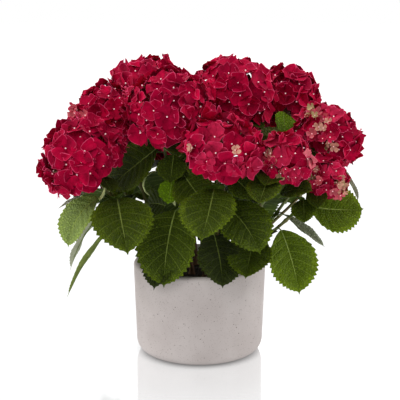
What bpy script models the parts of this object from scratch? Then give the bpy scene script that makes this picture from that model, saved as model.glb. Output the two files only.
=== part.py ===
"""A mophead hydrangea in a round pot.

A clump of canes rises from the soil. Each cane carries one leafy green shoot, and each shoot carries
one flower head. Metres, +Z up, with the origin at the centre of the pot's flat underside.
"""
import math
import random

import bmesh
import bpy
from mathutils import Matrix, Vector
from mathutils.bvhtree import BVHTree

GAP = 0.0003                 # between pieces that meet
CLEARANCE = 0.0006           # least distance that a leaf or floret keeps from other pieces

# The pot is turned: a tapering wall with a soft lip and a rounded lower corner.
POT_HEIGHT = 0.1526
POT_RIM_RADIUS = 0.110
POT_BASE_RADIUS = 0.1047     # where the wall's line would meet the floor
POT_WALL = 0.0125
POT_FLOOR = 0.016
POT_CORNER = 0.020
POT_INNER_CORNER = 0.012
POT_STEPS = 40
SOIL_TOP = 0.131
SOIL_RING = 0.010            # width of the soil's bevelled edge
SOIL_SINK = 0.003            # how far that edge drops

# The canes are woody and stand in a tight clump.
CLUMP_SPREAD = 0.24          # a cane's foot stands at this share of its flower head's place
CANE_LENGTH = 0.072
CANE_FOOT_RADIUS = 0.0062
CANE_RADIUS = 0.0042
CANE_TIP_RADIUS = 0.0034
CANE_FLARE = 0.008           # height of the flare at the foot

# The green shoots taper on from the canes.
SHOOT_RADIUS = 0.0030
SHOOT_TIP_RADIUS = 0.0022
PETIOLE_RADIUS = 0.0015
PETIOLE_TAPER = (1.15, 0.9)  # at the stem and in the blade
PETIOLE_LIFT = math.radians(30)
JOINT_STUB = 0.002           # straight run at a tube's ends, so that two ends meet square

# Leaf blades: pointed ovals, folded along the midrib.
LEAF_WIDTH = 0.74            # share of the blade's length
LEAF_FOLD = math.radians(14)
LEAF_THICKNESS = 0.0014
LEAF_MIDDLE = 0.42           # where the blade is widest
LEAF_TAPER = 1.1             # draws the outline's points towards the base
LEAF_RING = 10               # points on the outline
LEAF_ROOT = 0.25             # how far the petiole runs in, as a share of the way to the middle
LEAF_SPREAD = 0.262          # ruled leaves stay inside this distance from the pot's axis
LEAF_FRONT = -0.020          # and behind this depth, where the hung leaves begin
LEAF_FLOOR = 0.060           # no leaf hangs below this height

# Pairs of leaves along a shoot, counted down from the head.
PAIR_FIRST = 0.022
PAIR_STEP = 0.034
PAIR_LENGTHS = (0.072, 0.098, 0.112, 0.118, 0.115)
PAIR_PITCH = (8, -6, -16, -26, -30)
PAIR_PETIOLE = 0.029
PAIR_DROOP = (18, 48)
STEM_BARE = 0.012            # no leaf this close to the shoot's foot
TRY_SIZES = (6, 12, 18, 25, 35, 48)

# Flower heads: a dome of florets round a core.
CORE_SHARE = 0.84            # core radius as a share of the head's
UNDERSIDE = 0.75             # a head's lower half, as a share of its upper half's height
STALK_RADIUS = 0.0021
STALK_SHOWN = 0.006          # stalk between the shoot's tip and the core
FLORET_RADIUS = 0.0250
FLORET_SHARE = 0.45          # a small head's florets have this share of its half width
FLORET_BEND = 0.0030         # how far the sepals' tips bend back towards the head
FLORET_AREA = 0.00235        # head surface that one floret covers
FLORET_LOWEST = -0.55        # sine of the lowest floret's elevation on the head
FLORET_LEAST = 7             # florets on the smallest head
FLORET_FOOT = 0.55           # how far a floret's foot runs towards the head's centre
FLORET_JITTER = 0.07

# Each shoot's flower head: centre x, y, z, half width, half height.
HEADS = {
    "front": (0.036, -0.130, 0.366, 0.061, 0.040),
    "front_right": (0.134, -0.112, 0.345, 0.040, 0.038),
    "centre_left": (-0.053, -0.040, 0.408, 0.073, 0.062),
    "left": (-0.188, -0.060, 0.341, 0.068, 0.065),
    "low_right": (0.199, -0.070, 0.306, 0.035, 0.033),
    "right": (0.217, 0.020, 0.357, 0.055, 0.051),
    "top_right": (0.066, 0.055, 0.421, 0.071, 0.061),
    "left_back": (-0.150, 0.062, 0.386, 0.060, 0.062),
    "right_back": (0.160, 0.150, 0.403, 0.060, 0.060),
    "top_left": (-0.082, 0.172, 0.410, 0.070, 0.058),
    "back_left": (-0.165, 0.165, 0.290, 0.052, 0.047),
    "back": (-0.025, 0.195, 0.300, 0.058, 0.050),
    "back_right": (0.085, 0.215, 0.330, 0.052, 0.048),
    "right_rear": (0.225, 0.125, 0.304, 0.050, 0.046),
}
ROUTE_END = 0.35             # a route ends this share of the half height under the head's centre
STALK_DEPTH = 0.38           # the stalk shows from this share of it further down
NECK_DEPTH = 0.31            # leaves are measured from this share of it further down
LEAVE_RISE = 0.22            # height of the clump's starting slope over the head's own reach
LEAVE_PULL = 0.38
ARRIVE_PULL = 0.33
HEAD_TILT = (8, 26)          # degrees: at the axis, and gained at the full reach
HEAD_REACH = 0.20
HEAD_REACH_LIMIT = 1.1

# Leaves set by hand, most of them hanging in front.
# Distance below the neck, heading, petiole, length, pitch, droop and roll, in metres and degrees.
HUNG_LEAVES = {
    "front": (
        (0.060, -100, 0.025, 0.125, -20, 10, -15),
        (0.090, -50, 0.025, 0.115, -20, 30, -20),
        (0.150, -80, 0.030, 0.110, -40, -10, 25),
        (0.030, 35, 0.030, 0.085, 5, 25, 0),
        (0.110, 60, 0.030, 0.100, -10, 30, 0),
    ),
    "front_right": (
        (0.025, -100, 0.035, 0.070, -20, 10, 5),
        (0.060, -35, 0.035, 0.060, 20, 20, -30),
        (0.030, 60, 0.030, 0.080, 5, 25, 0),
        (0.090, 75, 0.030, 0.105, -10, 30, 0),
    ),
    "centre_left": (
        (0.140, -110, 0.040, 0.130, -40, 40, -15),
        (0.040, 170, 0.035, 0.110, -40, 0, 50),
        (0.070, -55, 0.020, 0.100, -25, -10, -35),
        (0.165, -110, 0.040, 0.090, -40, 15, -10),
        (0.050, -10, 0.030, 0.090, 0, 25, 0),
    ),
    "left": (
        (0.055, -80, 0.025, 0.130, -30, 10, 10),
        (0.065, -135, 0.040, 0.105, -30, 45, -10),
        (0.095, -165, 0.045, 0.115, -50, 30, -30),
        (0.055, 195, 0.045, 0.060, -30, 30, 0),
        (0.130, -170, 0.050, 0.130, -40, 10, -25),
    ),
    "low_right": (
        (0.140, -100, 0.045, 0.105, -25, 0, 0),
        (0.125, -65, 0.045, 0.110, -50, 35, 5),
        (0.075, -20, 0.045, 0.090, 0, -10, -65),
        (0.035, -95, 0.025, 0.055, -35, 0, 0),
    ),
    "right": (
        (0.140, -15, 0.035, 0.090, -25, 20, 5),
        (0.040, -15, 0.045, 0.085, -35, 45, 20),
        (0.030, 205, 0.025, 0.070, 0, 20, -20),
    ),
    "right_back": (
        (0.030, -100, 0.030, 0.085, -15, 40, 0),
        (0.020, -35, 0.030, 0.075, 0, 35, 0),
    ),
    "top_right": (
        (0.025, -135, 0.030, 0.090, -5, 30, 0),
    ),
    "top_left": (
        (0.190, 120, 0.025, 0.100, 0, 15, 75),
    ),
}


def clear_scene():
    for item in list(bpy.data.objects):
        bpy.data.objects.remove(item, do_unlink=True)


def new_collection(name):
    group = bpy.data.collections.new(name)
    bpy.context.scene.collection.children.link(group)
    return group


def new_material(name, colour, roughness, metallic=0.0):
    material = bpy.data.materials.new(name)
    material.use_nodes = True
    shader = material.node_tree.nodes["Principled BSDF"]
    shader.inputs["Base Color"].default_value = (*colour, 1.0)
    shader.inputs["Roughness"].default_value = roughness
    shader.inputs["Metallic"].default_value = metallic
    return material


def new_object(name, mesh, group, material=None):
    item = bpy.data.objects.new(name, mesh)
    group.objects.link(item)
    if material:
        mesh.materials.clear()
        mesh.materials.append(material)
    return item


def mesh_from(bm, name):
    """Closes a bmesh with its faces pointing out and returns it as a mesh."""
    bmesh.ops.recalc_face_normals(bm, faces=bm.faces)
    mesh = bpy.data.meshes.new(name)
    bm.to_mesh(mesh)
    bm.free()
    return mesh


def shade_smooth(item, angle=40):
    item.data.shade_smooth()
    item.data.set_sharp_from_angle(angle=math.radians(angle))


def direction(heading, pitch):
    """A unit vector from a compass heading and a pitch above the horizontal, in radians."""
    flat = math.cos(pitch)
    return Vector((math.cos(heading) * flat, math.sin(heading) * flat, math.sin(pitch)))


# Routes: the line that a cane, its shoot and its head's stalk follow.

class Route:
    """A smooth line from the soil to the inside of a flower head, measured along its length."""

    SAMPLES = 96

    def __init__(self, head):
        x, y, z, width, height = head
        self.centre = Vector((x, y, z))
        self.width = width
        self.height = height
        reach = math.hypot(x, y)
        tilt = math.radians(HEAD_TILT[0] + HEAD_TILT[1] * min(reach / HEAD_REACH, HEAD_REACH_LIMIT))
        self.axis = direction(math.atan2(y, x), math.pi / 2 - tilt)
        foot = Vector((x * CLUMP_SPREAD, y * CLUMP_SPREAD, SOIL_TOP + GAP))
        start = foot + Vector((0, 0, CANE_FLARE))
        end = self.centre - self.axis * height * ROUTE_END
        span = (end - start).length
        leave = Vector((x, y, LEAVE_RISE)).normalized()
        controls = (start, start + leave * span * LEAVE_PULL, end - self.axis * span * ARRIVE_PULL, end)
        self.points = [foot] + [self.bezier(controls, i / self.SAMPLES) for i in range(self.SAMPLES + 1)]
        self.marks = [0.0]
        for before, after in zip(self.points, self.points[1:]):
            self.marks.append(self.marks[-1] + (after - before).length)
        self.length = self.marks[-1]
        self.neck = self.length - height * NECK_DEPTH
        self.shoot_end = self.length - height * STALK_DEPTH - STALK_SHOWN

    @staticmethod
    def bezier(controls, t):
        a, b, c, d = controls
        s = 1 - t
        return a * s ** 3 + b * 3 * s * s * t + c * 3 * s * t * t + d * t ** 3

    def at(self, mark):
        mark = min(max(mark, 0.0), self.length)
        for i in range(1, len(self.marks)):
            if self.marks[i] >= mark:
                share = (mark - self.marks[i - 1]) / (self.marks[i] - self.marks[i - 1])
                return self.points[i - 1].lerp(self.points[i], share)
        return self.points[-1].copy()


def tube(name, route, start, end, radii, resolution, count, group, flared=False):
    """A tapering tube along part of a route, with flat ends, as a closed mesh."""
    marks = [start, start + JOINT_STUB]
    marks += [start + (end - start) * i / count for i in range(1, count)]
    marks += [end - JOINT_STUB, end]
    if flared:
        marks = [start, start + CANE_FLARE] + marks[2:]
    curve = bpy.data.curves.new(name, "CURVE")
    curve.dimensions = "3D"
    curve.bevel_depth = 1.0
    curve.bevel_resolution = resolution
    curve.use_fill_caps = True
    spline = curve.splines.new("POLY")
    spline.points.add(len(marks) - 1)
    for point, mark in zip(spline.points, marks):
        point.co = (*route.at(mark), 1.0)
        share = (mark - start) / (end - start)
        point.radius = radii[0] + (radii[1] - radii[0]) * share
    if flared:
        spline.points[0].radius = CANE_FOOT_RADIUS
    drawn = bpy.data.objects.new(name + " line", curve)
    group.objects.link(drawn)
    depsgraph = bpy.context.evaluated_depsgraph_get()
    mesh = bpy.data.meshes.new_from_object(drawn.evaluated_get(depsgraph))
    bm = bmesh.new()
    bm.from_mesh(mesh)
    bmesh.ops.remove_doubles(bm, verts=bm.verts, dist=0.00001)
    bpy.data.objects.remove(drawn, do_unlink=True)
    bpy.data.meshes.remove(mesh)
    return mesh_from(bm, name)


# The pot and its soil.

def arc(centre, radius, first, last, count):
    """Points (radius, height) on an arc; angles in degrees."""
    points = []
    for i in range(count + 1):
        angle = math.radians(first + (last - first) * i / count)
        points.append((centre[0] + radius * math.cos(angle), centre[1] + radius * math.sin(angle)))
    return points


def wall_radius(height):
    """The pot's outer radius at a height."""
    return POT_BASE_RADIUS + (POT_RIM_RADIUS - POT_BASE_RADIUS) * height / POT_HEIGHT


def pot_profile():
    lip = POT_WALL / 2
    inner = wall_radius(POT_FLOOR) - POT_WALL
    corner = wall_radius(POT_CORNER) - POT_CORNER
    profile = [(0.0, POT_FLOOR)]
    profile += arc((inner - POT_INNER_CORNER, POT_FLOOR + POT_INNER_CORNER), POT_INNER_CORNER, -90, 0, 2)
    profile += arc((POT_RIM_RADIUS - lip, POT_HEIGHT - lip), lip, 180, 0, 4)
    profile += arc((corner, POT_CORNER), POT_CORNER, 0, -90, 4)
    profile.append((0.0, 0.0))
    return profile


def turned(name, profile, group, material):
    """A profile of (radius, height) points turned about Z."""
    mesh = bpy.data.meshes.new(name)
    vertices = [(radius, 0.0, height) for radius, height in profile]
    edges = [(i, i + 1) for i in range(len(profile) - 1)]
    mesh.from_pydata(vertices, edges, [])
    item = new_object(name, mesh, group, material)
    screw = item.modifiers.new("Turn", "SCREW")
    screw.steps = POT_STEPS
    screw.render_steps = POT_STEPS
    screw.use_merge_vertices = True
    screw.merge_threshold = 0.00001
    screw.use_smooth_shade = True
    return item


def make_pot(group):
    concrete = new_material("concrete", (0.48, 0.43, 0.40), 0.85)
    return turned("pot", pot_profile(), group, concrete)


def make_soil(group):
    """The soil fills the pot, one gap clear of its floor and wall."""
    compost = new_material("compost", (0.035, 0.022, 0.015), 0.95)
    base = POT_FLOOR + GAP
    inner = wall_radius(POT_FLOOR) - POT_WALL
    low = inner - POT_INNER_CORNER - GAP
    knee = POT_FLOOR + POT_INNER_CORNER
    top = wall_radius(SOIL_TOP) - POT_WALL - 4 * GAP
    profile = [(0.0, SOIL_TOP), (top - SOIL_RING, SOIL_TOP), (top, SOIL_TOP - SOIL_SINK)]
    profile += [(inner - 4 * GAP, knee), (low, base), (0.0, base)]
    return turned("soil", profile, group, compost)


# Leaves.

def blade_width(t):
    """Half width of a blade at a share of its length, as a share of its greatest half width."""
    if t <= 0.0 or t >= 1.0:
        return 0.0
    return math.sin(math.pi * t ** 0.8) ** 0.7


class Blade:
    """A leaf blade's curve: it leaves its base at a pitch and droops towards its tip."""

    STEPS = 12

    def __init__(self, base, heading, length, pitch, droop, roll):
        self.length = length
        self.thickness = max(LEAF_THICKNESS, length / 80)
        self.pitch = pitch
        self.droop = droop
        self.heading = heading
        self.roll = roll
        self.points = [base.copy()]
        for i in range(self.STEPS):
            middle = (i + 0.5) / self.STEPS
            step = direction(heading, pitch - droop * middle) * (length / self.STEPS)
            self.points.append(self.points[-1] + step)

    def at(self, t, side=0.0, lift=0.0):
        """A point at share t of the length, moved to the side across the blade and lifted off it."""
        place = min(max(t, 0.0), 1.0) * self.STEPS
        low = min(int(place), self.STEPS - 1)
        point = self.points[low].lerp(self.points[low + 1], place - low)
        along = direction(self.heading, self.pitch - self.droop * t)
        across = direction(self.heading - math.pi / 2, 0.0)
        normal = across.cross(along)
        rolled = across * math.cos(self.roll) + normal * math.sin(self.roll)
        upward = normal * math.cos(self.roll) - across * math.sin(self.roll)
        return point + rolled * side + upward * lift


def leaf_bmesh(blade):
    """A thin, folded lens: the ring of a sphere becomes the outline, and its poles the midrib."""
    bm = bmesh.new()
    quarter = Matrix.Rotation(math.pi / 2, 4, "Z")
    bmesh.ops.create_uvsphere(bm, u_segments=LEAF_RING, v_segments=2, radius=1.0, matrix=quarter)
    half = blade.length * LEAF_WIDTH / 2
    for vertex in bm.verts:
        if abs(vertex.co.z) > 0.5:
            lift = 0.0 if vertex.co.z > 0 else -blade.thickness
            vertex.co = blade.at(LEAF_MIDDLE, 0.0, lift)
            continue
        t = min(max((1 + vertex.co.x) / 2, 0.0), 1.0)
        t = t ** LEAF_TAPER
        side = math.copysign(half * blade_width(t), vertex.co.y)
        if abs(vertex.co.y) < 0.01:
            side = 0.0
        vertex.co = blade.at(t, side, abs(side) * math.tan(LEAF_FOLD) - blade.thickness / 2)
    return bm


def petiole_bmesh(start, end):
    """A three-sided stalk from the shoot's axis into the blade."""
    line = end - start
    turn = line.to_track_quat("Z", "Y").to_matrix().to_4x4()
    turn.translation = (start + end) / 2
    bm = bmesh.new()
    bmesh.ops.create_cone(bm, cap_ends=True, segments=3, radius1=PETIOLE_RADIUS * PETIOLE_TAPER[0],
                          radius2=PETIOLE_RADIUS * PETIOLE_TAPER[1], depth=line.length, matrix=turn)
    return bm


class Leaf:
    """A blade on its petiole; angles in degrees."""

    def __init__(self, route, below, heading, petiole, length, pitch, droop, roll):
        node = route.at(route.neck - below)
        base = node + direction(math.radians(heading), PETIOLE_LIFT) * petiole
        blade = Blade(base, math.radians(heading), length, math.radians(pitch), math.radians(droop),
                      math.radians(roll))
        depth = -blade.thickness / 2
        inside = blade.at(0.0, 0.0, depth).lerp(blade.at(LEAF_MIDDLE, 0.0, depth), LEAF_ROOT)
        self.shapes = (leaf_bmesh(blade), petiole_bmesh(node, inside))
        self.trees = [BVHTree.FromBMesh(bm, epsilon=CLEARANCE) for bm in self.shapes]
        outline = [vertex.co for vertex in self.shapes[0].verts]
        self.lowest = min(point.z for point in outline)
        self.foremost = min(point.y for point in outline)
        self.widest = max(math.hypot(point.x, point.y) for point in outline)

    def keeps_inside(self, ruled):
        if self.lowest < LEAF_FLOOR:
            return False
        return not ruled or (self.widest < LEAF_SPREAD and self.foremost > LEAF_FRONT)

    def meshes(self, name):
        return [mesh_from(bm, name) for bm in self.shapes]

    def drop(self):
        for bm in self.shapes:
            bm.free()


def tries():
    """Small changes of heading and pitch, nearest first, that a leaf tries to find room."""
    yield 0, 0
    for size in TRY_SIZES:
        for turn, pitch in ((0, size), (size, 0), (-size, 0), (0, -size), (size, size), (-size, size)):
            yield turn, pitch


class Space:
    """What is already placed: each piece's owner and its surface, for keeping pieces apart."""

    def __init__(self):
        self.wholes = []
        self.blades = []

    def add_mesh(self, owner, item):
        depsgraph = bpy.context.evaluated_depsgraph_get()
        bm = bmesh.new()
        bm.from_object(item, depsgraph)
        self.wholes.append((owner, BVHTree.FromBMesh(bm, epsilon=CLEARANCE)))
        bm.free()

    def touches_others(self, owner, tree):
        return any(tree.overlap(other) for name, other in self.wholes if name != owner)

    def has_room(self, owner, leaf):
        """True where a leaf touches nothing of another owner, nor another blade of its own shoot."""
        if any(self.touches_others(owner, tree) for tree in leaf.trees):
            return False
        return not any(leaf.trees[0].overlap(other) for name, other in self.blades if name == owner)

    def add_leaf(self, owner, leaf):
        self.wholes += [(owner, tree) for tree in leaf.trees]
        self.blades.append((owner, leaf.trees[0]))


def place_leaf(shoot, route, values, space, ruled):
    """Fits a leaf among what is there already. Returns its meshes, or none where it finds no room."""
    below, heading, petiole, length, pitch, droop, roll = values
    for turn, lift in tries():
        leaf = Leaf(route, below, heading + turn, petiole, length, pitch + lift, droop, roll)
        if leaf.keeps_inside(ruled) and space.has_room(shoot, leaf):
            space.add_leaf(shoot, leaf)
            return leaf.meshes(shoot + " leaf")
        leaf.drop()
    return []


def ruled_leaves(shoot, route, stem_length):
    """Values for the pairs of leaves along a shoot: each pair stands square to the one above."""
    rng = random.Random("leaves of " + shoot)
    outward = math.degrees(math.atan2(route.centre.y, route.centre.x))
    heading = outward + 45 + rng.uniform(-20, 20)
    below = PAIR_FIRST
    pair = 0
    while below < stem_length - STEM_BARE:
        rank = min(pair, len(PAIR_LENGTHS) - 1)
        for turn in (0, 180):
            length = PAIR_LENGTHS[rank] * rng.uniform(0.9, 1.08)
            petiole = PAIR_PETIOLE + rng.uniform(-0.005, 0.005)
            yield (below, heading + turn + rng.uniform(-10, 10), petiole, length,
                   PAIR_PITCH[rank] + rng.uniform(-8, 8), rng.uniform(*PAIR_DROOP), rng.uniform(-18, 18))
        below += PAIR_STEP + rng.uniform(-0.004, 0.004)
        heading += 90
        pair += 1


# Flower heads.

def head_frame(route):
    """Two directions square to the head's axis."""
    first = route.axis.orthogonal().normalized()
    return first, route.axis.cross(first)


def on_head(route, outward, share):
    """A point on the head's dome, at a share of its radius, in a direction seen from its centre."""
    rise = outward.dot(route.axis)
    flat = outward - route.axis * rise
    height = route.height if rise > 0 else route.height * UNDERSIDE
    return route.centre + (flat * route.width + route.axis * rise * height) * share


def core_bmesh(route):
    bm = bmesh.new()
    bmesh.ops.create_icosphere(bm, subdivisions=1, radius=1.0)
    for vertex in bm.verts:
        vertex.co = on_head(route, vertex.co.normalized(), CORE_SHARE)
    return bm


def floret_bmesh(route, outward, spin):
    """Four broad sepals as a bent square, whose foot runs down into the core."""
    sepals = 4
    middle = on_head(route, outward, 1.0)
    normal = (middle - route.centre).normalized()
    foot = middle.lerp(route.centre, FLORET_FOOT)
    across = normal.orthogonal().normalized()
    square = normal.cross(across)
    radius = min(FLORET_RADIUS, route.width * FLORET_SHARE)
    bm = bmesh.new()
    bmesh.ops.create_uvsphere(bm, u_segments=sepals, v_segments=2, radius=1.0)
    for vertex in bm.verts:
        if abs(vertex.co.z) > 0.5:
            vertex.co = middle if vertex.co.z > 0 else foot
            continue
        angle = math.atan2(vertex.co.y, vertex.co.x) + spin
        flat = across * math.cos(angle) + square * math.sin(angle)
        vertex.co = middle + flat * radius - normal * FLORET_BEND
    return bm


def head_directions(route, name):
    """Directions of the florets, spread evenly over the dome by the golden angle."""
    rng = random.Random("head of " + name)
    first, second = head_frame(route)
    cover = 2 * math.pi * route.width * (route.width + route.height) / 2 * (1 - FLORET_LOWEST)
    count = max(FLORET_LEAST, round(cover / FLORET_AREA))
    start = rng.uniform(0, math.tau)
    for i in range(count):
        rise = 1 - (1 - FLORET_LOWEST) * (i + 0.5) / count
        turn = start + i * math.pi * (3 - math.sqrt(5))
        flat = math.sqrt(1 - rise * rise)
        outward = (first * math.cos(turn) + second * math.sin(turn)) * flat + route.axis * rise
        jitter = Vector([rng.uniform(-FLORET_JITTER, FLORET_JITTER) for _ in range(3)])
        yield (outward + jitter).normalized(), rng.uniform(0, math.tau)


def make_head(name, route, group, scraps, material, space):
    stalk_start = route.shoot_end + GAP
    stalk = tube(name + " stalk", route, stalk_start, route.length, (STALK_RADIUS, STALK_RADIUS), 1, 3,
                 group)
    pieces = [mesh_from(core_bmesh(route), name + " core")]
    for outward, spin in head_directions(route, name):
        bm = floret_bmesh(route, outward, spin)
        tree = BVHTree.FromBMesh(bm, epsilon=CLEARANCE)
        if space.touches_others(name, tree):
            bm.free()
        else:
            pieces.append(mesh_from(bm, name + " floret"))
    head = fuse("bloom_" + name, stalk, pieces, group, scraps, material)
    space.add_mesh("bloom " + name, head)
    return head


# Joining.

def keep_main_body(mesh):
    """Drops loose scraps and the walls of sealed hollows, which leaves one closed body."""
    bm = bmesh.new()
    bm.from_mesh(mesh)
    bmesh.ops.triangulate(bm, faces=bm.faces)
    bodies = []
    unseen = set(bm.faces)
    while unseen:
        stack = [unseen.pop()]
        body = set(stack)
        while stack:
            for edge in stack.pop().edges:
                for face in edge.link_faces:
                    if face in unseen:
                        unseen.discard(face)
                        body.add(face)
                        stack.append(face)
        bodies.append(body)
    bodies.sort(key=lambda body: sum(face.calc_area() for face in body))
    scraps = [face for body in bodies[:-1] for face in body]
    bmesh.ops.delete(bm, geom=scraps, context="FACES")
    bm.to_mesh(mesh)
    bm.free()


def fuse(name, base_mesh, meshes, group, scraps, material):
    """Joins meshes that run into each other into one solid."""
    for mesh in meshes:
        scraps.objects.link(bpy.data.objects.new(mesh.name, mesh))
    base = bpy.data.objects.new(name, base_mesh)
    group.objects.link(base)
    union = base.modifiers.new("Join", "BOOLEAN")
    union.operation = "UNION"
    union.operand_type = "COLLECTION"
    union.collection = scraps
    union.solver = "EXACT"
    depsgraph = bpy.context.evaluated_depsgraph_get()
    joined = bpy.data.meshes.new_from_object(base.evaluated_get(depsgraph))
    keep_main_body(joined)
    base.modifiers.clear()
    base.data = joined
    joined.materials.clear()
    joined.materials.append(material)
    for item in list(scraps.objects):
        bpy.data.objects.remove(item, do_unlink=True)
    return base


def make_canes(routes, group, space):
    bark = new_material("bark", (0.20, 0.12, 0.07), 0.8)
    for name, route in routes.items():
        mesh = tube("cane", route, 0.0, CANE_LENGTH, (CANE_RADIUS, CANE_TIP_RADIUS), 1, 4, group, True)
        cane = new_object("cane_" + name, mesh, group, bark)
        shade_smooth(cane)
        space.add_mesh("cane " + name, cane)


def make_heads(routes, group, scraps, space):
    sepals = new_material("sepals", (0.55, 0.008, 0.04), 0.5)
    for name, route in routes.items():
        make_head(name, route, group, scraps, sepals, space)


def make_foliage(routes, group, scraps, space):
    green = new_material("leaf", (0.045, 0.11, 0.02), 0.5)
    stems = {}
    leaves = {name: [] for name in routes}
    for name, route in routes.items():
        stems[name] = tube(name + " stem", route, CANE_LENGTH + GAP, route.shoot_end,
                           (SHOOT_RADIUS, SHOOT_TIP_RADIUS), 1, 7, group)
        bm = bmesh.new()
        bm.from_mesh(stems[name])
        space.wholes.append((name, BVHTree.FromBMesh(bm, epsilon=CLEARANCE)))
        bm.free()
    for ruled in (False, True):
        for name, route in routes.items():
            stem_length = route.shoot_end - CANE_LENGTH
            if ruled:
                wanted = ruled_leaves(name, route, stem_length)
            else:
                wanted = HUNG_LEAVES.get(name, ())
            for values in wanted:
                leaves[name] += place_leaf(name, route, values, space, ruled)
    for name in routes:
        fuse("foliage_" + name, stems[name], leaves[name], group, scraps, green)


def main():
    clear_scene()
    group = new_collection("hydrangea")
    scraps = new_collection("joined pieces")
    routes = {name: Route(head) for name, head in HEADS.items()}
    space = Space()
    space.add_mesh("pot", make_pot(group))
    space.add_mesh("soil", make_soil(group))
    make_canes(routes, group, space)
    make_heads(routes, group, scraps, space)
    make_foliage(routes, group, scraps, space)
    bpy.data.collections.remove(scraps)


main()
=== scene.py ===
"""A mophead hydrangea in a round concrete pot, modelled leaf by leaf and floret by floret.

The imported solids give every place. Each shoot follows its route from the soil into a flower head, and
its leaves are settled by the same rule that placed them in the solids. Metres, +Z up.
"""
import math
import random
from typing import NamedTuple

import bmesh
import bpy
import numpy as np
from bpy.props import FloatProperty, FloatVectorProperty, IntProperty, PointerProperty
from mathutils import Matrix, Vector, noise
from mathutils.bvhtree import BVHTree


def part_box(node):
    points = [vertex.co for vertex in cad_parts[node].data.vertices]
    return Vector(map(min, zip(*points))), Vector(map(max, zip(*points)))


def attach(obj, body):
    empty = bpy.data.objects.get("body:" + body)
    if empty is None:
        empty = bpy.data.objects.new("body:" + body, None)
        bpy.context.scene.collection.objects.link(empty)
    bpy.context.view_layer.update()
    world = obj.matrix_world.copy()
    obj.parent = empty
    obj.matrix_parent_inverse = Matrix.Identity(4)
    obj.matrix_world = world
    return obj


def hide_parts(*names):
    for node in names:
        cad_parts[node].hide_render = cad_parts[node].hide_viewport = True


bl_info = {
    "name": "Potted Hydrangea",
    "version": (1, 0, 0),
    "blender": (4, 5, 0),
    "location": "View3D > Sidebar > Hydrangea",
    "description": "Models a mophead hydrangea and its pot, leaf by leaf and floret by floret",
    "category": "Object",
}

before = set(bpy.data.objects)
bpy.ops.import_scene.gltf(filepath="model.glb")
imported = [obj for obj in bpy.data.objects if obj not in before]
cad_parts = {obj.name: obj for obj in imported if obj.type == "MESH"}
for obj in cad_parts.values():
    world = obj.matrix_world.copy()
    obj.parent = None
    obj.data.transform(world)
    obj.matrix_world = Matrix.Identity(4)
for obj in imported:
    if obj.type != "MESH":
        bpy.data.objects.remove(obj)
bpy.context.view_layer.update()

BODY = "root"
GAP = 0.0003
RING_SLACK = 0.0008  # how far a ring's edges may lie from its height and its radius

# Sizes of the plant's rule, the same as its solids have.
SOIL_TOP = 0.131
CLUMP_SPREAD = 0.24
CANE_LENGTH = 0.072
CANE_FOOT_RADIUS = 0.0062
CANE_RADIUS = 0.0042
CANE_TIP_RADIUS = 0.0034
CANE_FLARE = 0.008
SHOOT_RADIUS = 0.0030
SHOOT_TIP_RADIUS = 0.0022
PETIOLE_LIFT = math.radians(30)
LEAF_WIDTH = 0.74
LEAF_FOLD = math.radians(14)
LEAF_THICKNESS = 0.0014
LEAF_TAPER = 1.1
PAIR_FIRST = 0.022
PAIR_STEP = 0.034
PAIR_LENGTHS = (0.072, 0.098, 0.112, 0.118, 0.115)
PAIR_PITCH = (8, -6, -16, -26, -30)
PAIR_PETIOLE = 0.029
PAIR_DROOP = (18, 48)
PAIR_START = 45  # heading of the first pair from the shoot's own, and how far it may stray
PAIR_STRAY = 20
LENGTH_RANGE = (0.9, 1.08)
PETIOLE_STRAY = 0.005
HEADING_STRAY = 10
PITCH_STRAY = 8
ROLL_STRAY = 18
STEP_STRAY = 0.004
STEM_BARE = 0.012
TRY_SIZES = (6, 12, 18, 25, 35, 48)
STALK_SHOWN = 0.006
UNDERSIDE = 0.75
ROUTE_END = 0.35
STALK_DEPTH = 0.38
NECK_DEPTH = 0.31
LEAVE_RISE = 0.22
LEAVE_PULL = 0.38
ARRIVE_PULL = 0.33
HEAD_TILT = (8, 26)
HEAD_REACH = 0.20
HEAD_REACH_LIMIT = 1.1

# Each shoot's flower head: centre x, y, z, half width, half height.
HEADS = {
    "front": (0.036, -0.130, 0.366, 0.061, 0.040),
    "front_right": (0.134, -0.112, 0.345, 0.040, 0.038),
    "centre_left": (-0.053, -0.040, 0.408, 0.073, 0.062),
    "left": (-0.188, -0.060, 0.341, 0.068, 0.065),
    "low_right": (0.199, -0.070, 0.306, 0.035, 0.033),
    "right": (0.217, 0.020, 0.357, 0.055, 0.051),
    "top_right": (0.066, 0.055, 0.421, 0.071, 0.061),
    "left_back": (-0.150, 0.062, 0.386, 0.060, 0.062),
    "right_back": (0.160, 0.150, 0.403, 0.060, 0.060),
    "top_left": (-0.082, 0.172, 0.410, 0.070, 0.058),
    "back_left": (-0.165, 0.165, 0.290, 0.052, 0.047),
    "back": (-0.025, 0.195, 0.300, 0.058, 0.050),
    "back_right": (0.085, 0.215, 0.330, 0.052, 0.048),
    "right_rear": (0.225, 0.125, 0.304, 0.050, 0.046),
}

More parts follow.
